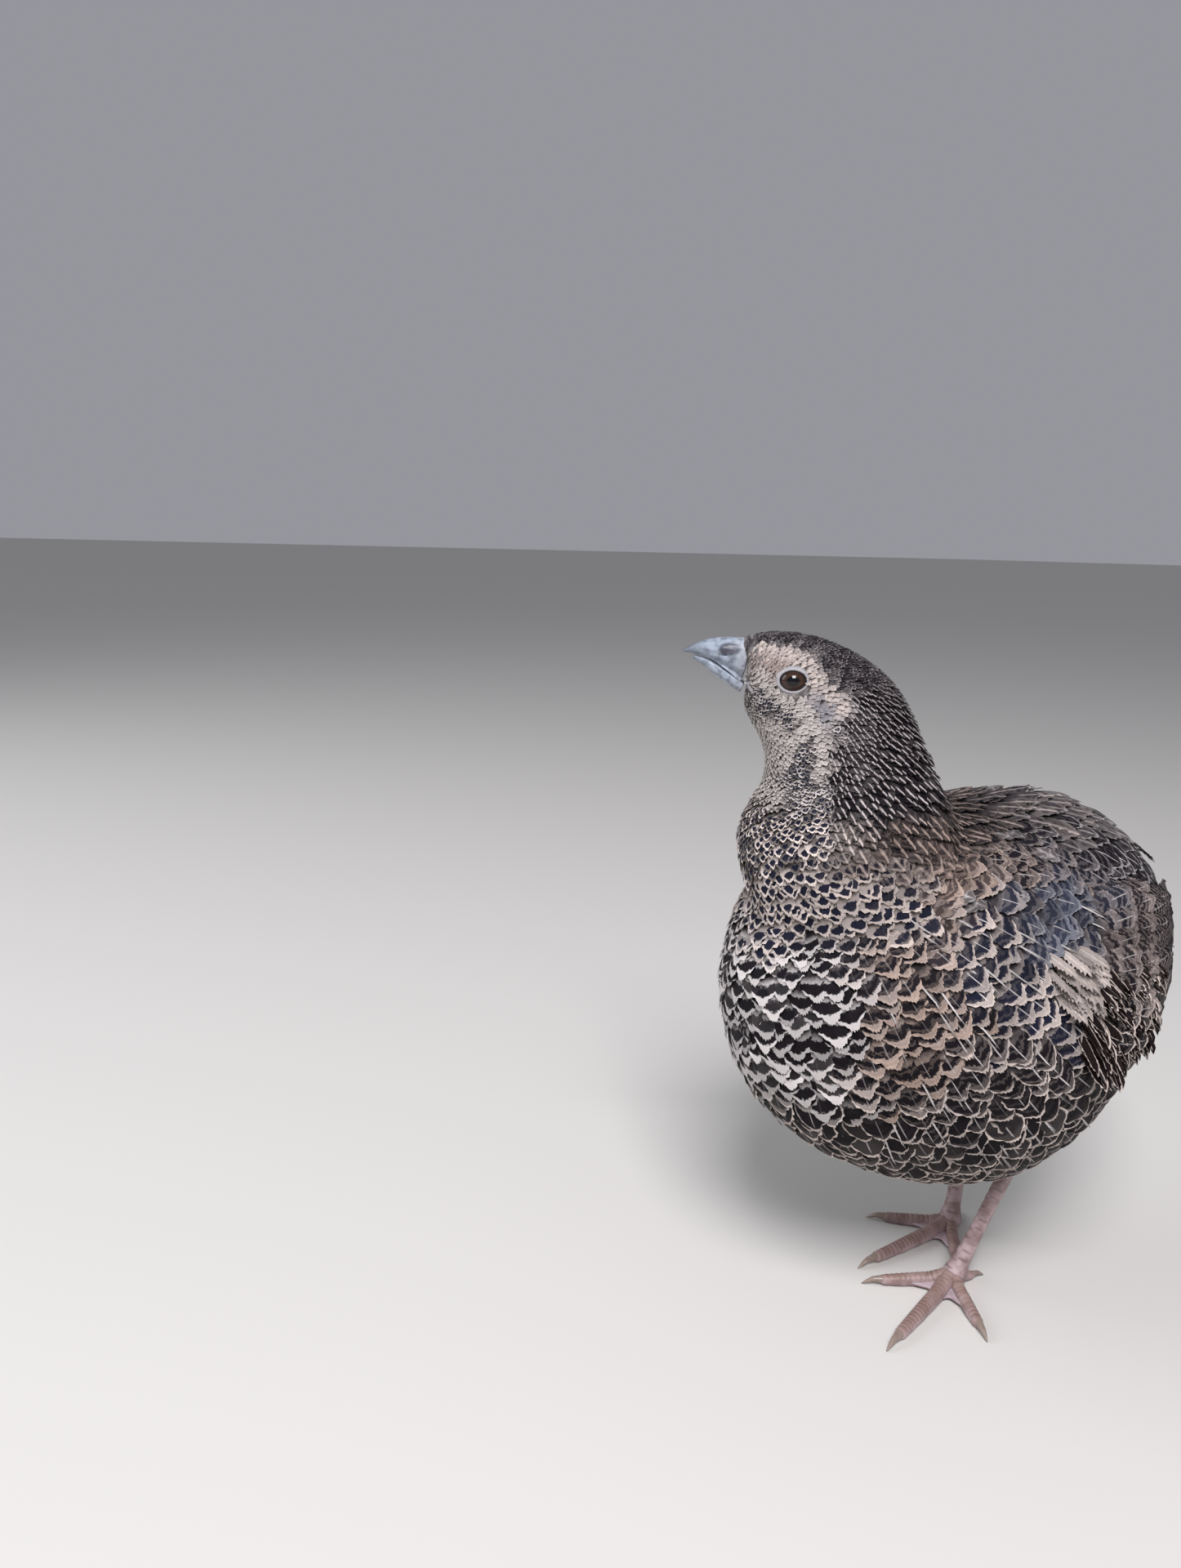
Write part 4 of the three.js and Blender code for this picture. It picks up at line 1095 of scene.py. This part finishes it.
def plates(pace, height, front_only=False):
    """Horn plates that overlap towards the end of the limb, each stepping down to the next, with painted
    shade in the crease at each step.
    """
    def shape(angle, run):
        top = max(0.0, math.sin(angle)) ** 0.5
        share = (run / pace + (0.5 if front_only and math.cos(angle) > 0 else 0)) % 1
        step = share**1.5 if share < PLATE_END else (1 - share) / (1 - PLATE_END) * 0.8
        pad = 0.09 * math.sin(math.pi * (run / (4.2 * pace) % 1)) ** 2 * max(0.0, -math.sin(angle))
        groove_shade = top * max(0.0, 1 - abs(share - 0.96) / 0.12)
        return 1 + height * step * top + pad, groove_shade, 0.6 * top * (0 if front_only else 1)
    return shape


def floor_point(leg, distance, angle, height):
    _, side, (x, forward), turned, _ = leg
    way = math.radians(turned + angle)
    y = ORIGIN_Y - forward - distance * math.cos(way)
    return np.array([x + side * distance * math.sin(way), y, height])


for leg in LEGS:
    word, *_, heel = leg
    share = np.linspace(0, 1, 90)[:, None]
    top_end = np.array([heel[0], ORIGIN_Y - heel[1], heel[2]])
    path = top_end * (1 - share) + floor_point(leg, 0, 0, FOOT_HEIGHT) * share
    radii = np.interp(share[:, 0], SHANK_SHARE, SHANK_THICK)
    shank = limb(f"shank_{word}_skin", path, radii, 20, plates(2.1, 0.09, True), leather)
    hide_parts(f"shank_{word}")
    for name, angle, long, thick, claw in TOES:
        share = np.linspace(0, 1, max(20, round(long * 3.2)))
        height = np.interp(share, TOE_SHARE, TOE_HEIGHT)
        path = np.array([floor_point(leg, s * long, angle, h) for s, h in zip(share, height)])
        radii = thick * np.interp(share, TOE_SHARE, TOE_THICK)
        radii[-3:] *= TOE_END
        toe = limb(f"toe_{name}_{word}_skin", path, radii, 16, plates(1.25, 0.16), leather)
        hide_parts(f"toe_{name}_{word}")
        share = np.linspace(0, 1, 14)
        height = np.interp(share, [0, 0.5, 1], [1.45, 1.45, 0.3])
        reach = long - CLAW_ROOT + share * (claw + CLAW_ROOT)
        path = np.array([floor_point(leg, r, angle, h) for r, h in zip(reach, height)])
        radii = thick * 0.6 * (1 - share) ** 0.7 + 0.07
        nail = limb(f"claw_{name}_{word}_horn", path, radii, 12, smooth_round, claw_horn)
        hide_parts(f"claw_{name}_{word}")
    bm = bmesh.new()
    bmesh.ops.create_grid(bm, x_segments=24, y_segments=8, size=1)
    for vertex in bm.verts:
        swing, near = vertex.co.x, 0.5 + 0.5 * vertex.co.y
        hollow = abs(math.sin(math.pi * swing))
        distance = WEB_FROM + (WEB_TO * (1 - 0.34 * hollow) - WEB_FROM) * near
        height = 1.0 + 1.1 * (1 - near) - 0.25 * hollow
        vertex.co = Vector(floor_point(leg, distance, WEB_SPREAD * swing, height) * MM)
    bmesh.ops.recalc_face_normals(bm, faces=bm.faces)
    bmesh.ops.solidify(bm, geom=bm.faces[:], thickness=WEB_THICK)
    piece = new_piece("web_" + word, mesh_from(bm, "web_" + word), web_skin)
    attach(piece, "root")

# Floor, light and camera
# A pale matt sheet lies under the bird and soft daylight falls from the front and above.
# The camera stands at the left front, a little above the head.
SENSOR = 36
CAMERA_FROM_EYES = np.array([205.6, -160.4, 26.7])
CAMERA_FACES = (-0.880, 0.474)
CAMERA_PITCH = math.radians(11.4)
CAMERA_ROLL = math.radians(1.4)
lens = bpy.data.cameras.new("camera")
lens.lens = SENSOR * 1443 / 1920
lens.sensor_width = SENSOR
lens.clip_start = 0.01
camera = bpy.data.objects.new("camera", lens)
bpy.context.scene.collection.objects.link(camera)
aim = Vector((*(way * math.cos(CAMERA_PITCH) for way in CAMERA_FACES), -math.sin(CAMERA_PITCH))).normalized()
right = Vector((CAMERA_FACES[1], -CAMERA_FACES[0], 0)).normalized()
top = right.cross(aim)
right_rolled = math.cos(CAMERA_ROLL) * right + math.sin(CAMERA_ROLL) * top
top_rolled = -math.sin(CAMERA_ROLL) * right + math.cos(CAMERA_ROLL) * top
turned = Matrix((right_rolled, top_rolled, -aim)).transposed().to_4x4()
camera.matrix_world = Matrix.Translation(Vector((HEAD_MIDDLE + CAMERA_FROM_EYES) * MM)) @ turned
bpy.context.scene.camera = camera

bm = bmesh.new()
bmesh.ops.create_grid(bm, x_segments=1, y_segments=1, size=40)
sheet, _, _ = finish_of("floor_sheet", 0.8, Base_Color=(0.62, 0.60, 0.57, 1))
floor = new_piece("floor", mesh_from(bm, "floor"), sheet)


def softbox(name, spot, towards, size, power, colour):
    lamp = bpy.data.lights.new(name, "AREA")
    lamp.shape = "RECTANGLE"
    lamp.size, lamp.size_y = size
    lamp.energy = power
    lamp.color = colour
    made = bpy.data.objects.new(name, lamp)
    bpy.context.scene.collection.objects.link(made)
    made.location = spot
    made.rotation_mode = "QUATERNION"
    made.rotation_quaternion = (Vector(towards) - Vector(spot)).to_track_quat("-Z", "Y")


bpy.context.scene.view_settings.view_transform = "Standard"
softbox("key", (0.62, -0.42, 0.95), (0, 0, 0.09), (0.45, 0.45), 16, (0.98, 0.97, 1.0))
softbox("fill", (-0.6, -0.9, 0.6), (0, 0, 0.09), (0.8, 0.8), 6, (0.93, 0.96, 1.0))
world = bpy.data.worlds.new("daylight")
bpy.context.scene.world = world
world.use_nodes = True
background = world.node_tree.nodes["Background"]
background.inputs["Color"].default_value = (0.83, 0.85, 0.93, 1)
background.inputs["Strength"].default_value = 0.36
